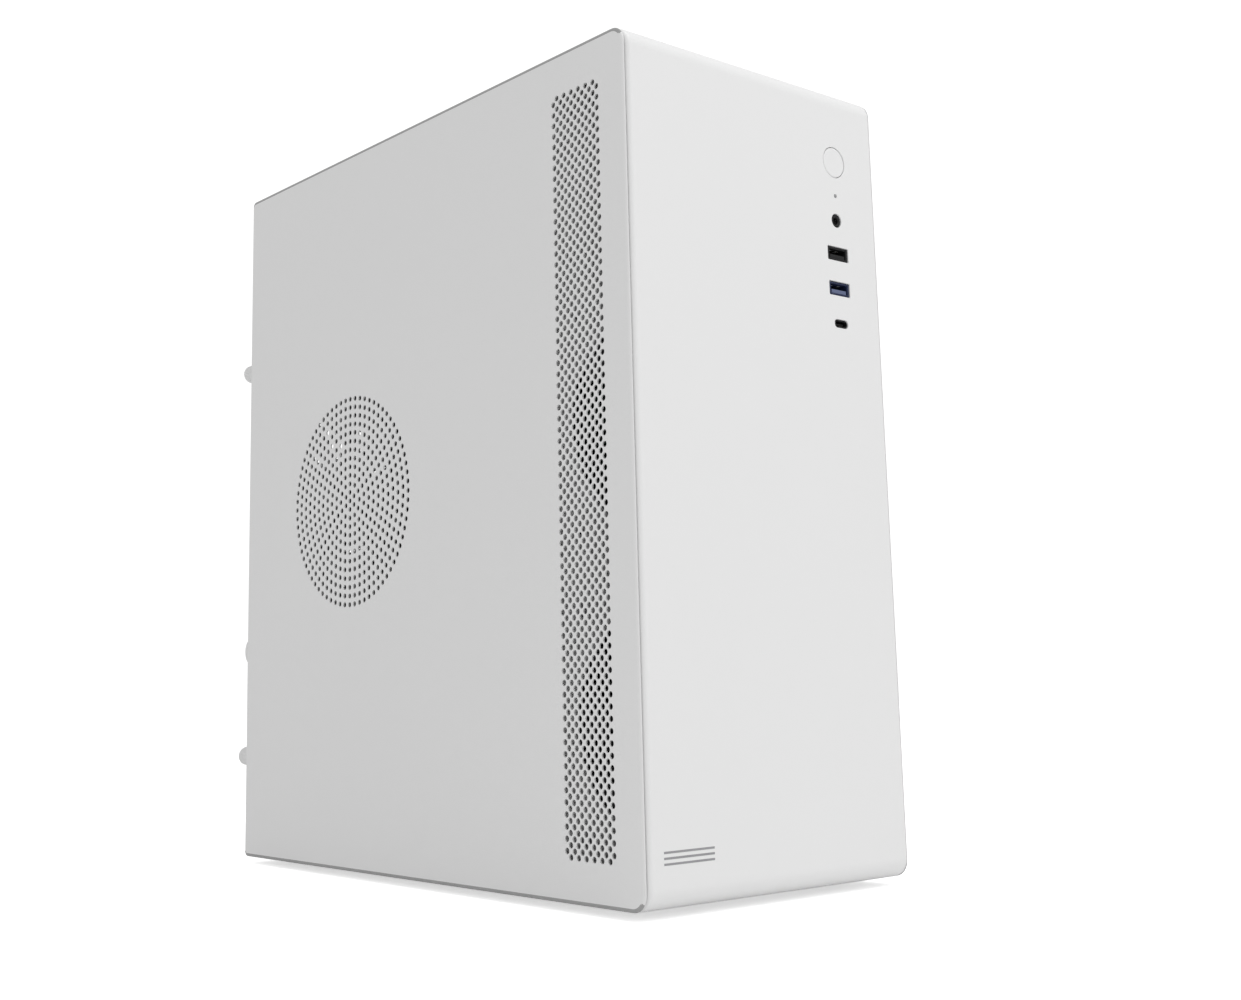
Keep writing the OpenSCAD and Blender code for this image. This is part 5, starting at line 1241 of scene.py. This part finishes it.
def screws_of(node):
    """Each solid of a node of screws: where its head sits, which way it faces and its sizes."""
    found = []
    for group, lo, hi in solids_of(node):
        size = hi - lo
        axis = min(range(3), key=lambda i: abs(size[(i + 1) % 3] - size[(i + 2) % 3]))
        middle = (lo + hi) / 2
        out = [math.hypot((c - middle)[(axis + 1) % 3], (c - middle)[(axis + 2) % 3]) for c in group]
        wide = max(out)
        rim = [c[axis] for c, r in zip(group, out) if r > wide * 0.97]
        shank = min((r for r in out if r > 0.0004), default=wide / 2)
        towards = 1 if hi[axis] - max(rim) < min(rim) - lo[axis] else -1
        seat = middle.copy()
        seat[axis] = min(rim) if towards > 0 else max(rim)
        head_h = max(rim) - min(rim)
        found.append((seat, axis, towards, wide, head_h, shank, size[axis] - head_h))
    return found


class TOWER_OT_screws(BuildStep, bpy.types.Operator):
    """Cut every pan-head screw of the case, the board and the clamp"""

    bl_idname = "tower.screws"
    bl_label = "Screws"

    def execute(self, context):
        for node, body in (("machine_screws", "case"), ("board_screws", "case"),
                           ("clamp_screw", "clamp_screw")):
            kinds = {}
            for seat, axis, towards, wide, head_h, shank, length in screws_of(node):
                key = (axis, towards, round(wide, 4), round(head_h, 4), round(shank, 4), round(length, 4))
                kinds.setdefault(key, []).append(tuple(seat))
            parts = []
            for (axis, towards, wide, head_h, shank, length), seats in sorted(kinds.items()):
                element = pan_screw(wide, head_h, shank, max(length, 0.001))
                element.transform(facing(axis, towards))
                parts.append(copies_at(element, seats, "screw_steel"))
            settle(link(node + "_cut", join(node + "_cut", parts)), body, "screw_steel", node)
        return {"FINISHED"}


class TOWER_OT_stage(BuildStep, bpy.types.Operator):
    """Set the floor, the light and the camera"""

    bl_idname = "tower.stage"
    bl_label = "Stage"

    def execute(self, context):
        s = context.scene.tower_stage
        floor = link("floor", raw("floor", [(-6, -6, 0), (6, -6, 0), (6, 6, 0), (-6, 6, 0)], [(0, 1, 2, 3)]))
        pale = bpy.data.materials.new("pale floor")
        pale.use_nodes = True
        tree = pale.node_tree
        shader = tree.nodes["Principled BSDF"]
        where = tree.nodes.new("ShaderNodeTexCoord").outputs["Object"]
        toned = use(tree, GROUPS["tone"], Vector=where, Colour=(0.93, 0.93, 0.93, 1.0), Amount=0.004,
                    Size=0.8,
                    Gloss=0.9, Gloss_drift=0.02)
        tree.links.new(toned.outputs["Colour"], shader.inputs["Base Color"])
        tree.links.new(toned.outputs["Roughness"], shader.inputs["Roughness"])
        shader.inputs["Specular IOR Level"].default_value = 0.1
        seen = tree.nodes.new("ShaderNodeLightPath").outputs["Is Camera Ray"]
        glow = put(tree, "ShaderNodeEmission", Color=(1.0, 1.0, 1.0, 1.0),
                   Strength=math_of(tree, "MULTIPLY", seen, s.glow))
        both = put(tree, "ShaderNodeAddShader", i0=shader.outputs[0], i1=glow.outputs[0])
        tree.links.new(both.outputs[0], tree.nodes["Material Output"].inputs["Surface"])
        floor.data.materials.append(pale)

        world = bpy.data.worlds.new("studio")
        world.use_nodes = True
        tree = world.node_tree
        tree.nodes.clear()
        seen = put(tree, "ShaderNodeBackground", Color=(1.0, 1.0, 1.0, 1.0), Strength=1.1)
        light = put(tree, "ShaderNodeBackground", Color=(1.0, 1.0, 1.0, 1.0), Strength=s.sky)
        ray = tree.nodes.new("ShaderNodeLightPath")
        mixed = put(tree, "ShaderNodeMixShader", i0=ray.outputs["Is Camera Ray"], i1=light.outputs[0],
                    i2=seen.outputs[0])
        out = tree.nodes.new("ShaderNodeOutputWorld")
        tree.links.new(mixed.outputs[0], out.inputs[0])
        context.scene.world = world

        for name, place, aim, size, power in (
                ("front light", (0.5, -1.7, 0.75), (0.0, -0.1, 0.2), 1.4, s.key),
                ("overhead light", (0.0, -0.75, 1.9), (0.0, -0.15, 0.3), 1.5, s.top)):
            lamp = bpy.data.lights.new(name, "AREA")
            lamp.energy, lamp.size = power, size
            holder = bpy.data.objects.new(name, lamp)
            holder.location = place
            holder.rotation_euler = (Vector(aim) - Vector(place)).to_track_quat("-Z", "Y").to_euler()
            context.scene.collection.objects.link(holder)

        camera = bpy.data.cameras.new("camera")
        camera.lens, camera.sensor_width, camera.shift_x, camera.shift_y = s.lens, 36.0, s.shift_x, s.shift_y
        camera.clip_start, camera.clip_end = 0.01, 50.0
        holder = bpy.data.objects.new("camera", camera)
        ahead = Vector((math.sin(s.azimuth) * math.cos(s.rise), math.cos(s.azimuth) * math.cos(s.rise),
                        math.sin(s.rise)))
        level = ahead.cross(Vector((0, 0, 1))).normalized()
        up = level.cross(ahead)
        right = level * math.cos(s.roll) + up * math.sin(s.roll)
        upward = right.cross(ahead)
        holder.matrix_world = Matrix.Translation(s.place) @ Matrix((right, upward,
                                                                    -ahead)).transposed().to_4x4()
        context.scene.collection.objects.link(holder)
        context.scene.camera = holder
        context.scene.view_settings.view_transform = "Standard"
        return {"FINISHED"}


class TOWER_PT_panel(bpy.types.Panel):
    """Sizes, colours and build steps of the tower"""

    bl_label = "Computer tower"
    bl_idname = "TOWER_PT_panel"
    bl_space_type = "VIEW_3D"
    bl_region_type = "UI"
    bl_category = "Tower"

    def draw(self, context):
        for name, group in SETTINGS:
            column = self.layout.box().column()
            for key in group.__annotations__:
                column.prop(getattr(context.scene, name), key)
        for step in STEPS:
            self.layout.operator(step.bl_idname)


SETTINGS = [("tower_panels", TowerPanelSettings), ("tower_front", TowerFrontSettings),
            ("tower_finish", TowerFinishSettings), ("tower_stage", TowerStageSettings)]
STEPS = [TOWER_OT_finishes, TOWER_OT_side_panels, TOWER_OT_front, TOWER_OT_controls, TOWER_OT_front_sockets,
         TOWER_OT_thumbscrews, TOWER_OT_feet, TOWER_OT_fans, TOWER_OT_supply_grille, TOWER_OT_screws,
         TOWER_OT_stage]


def register():
    for made in [group for _, group in SETTINGS] + STEPS + [TOWER_PT_panel]:
        bpy.utils.register_class(made)
    for name, group in SETTINGS:
        setattr(bpy.types.Scene, name, bpy.props.PointerProperty(type=group))


def unregister():
    for name, _ in SETTINGS:
        delattr(bpy.types.Scene, name)
    for made in reversed([group for _, group in SETTINGS] + STEPS + [TOWER_PT_panel]):
        bpy.utils.unregister_class(made)


def main():
    register()
    for step in STEPS:
        getattr(bpy.ops.tower, step.bl_idname.split(".")[1])()


if __name__ == "__main__":
    main()
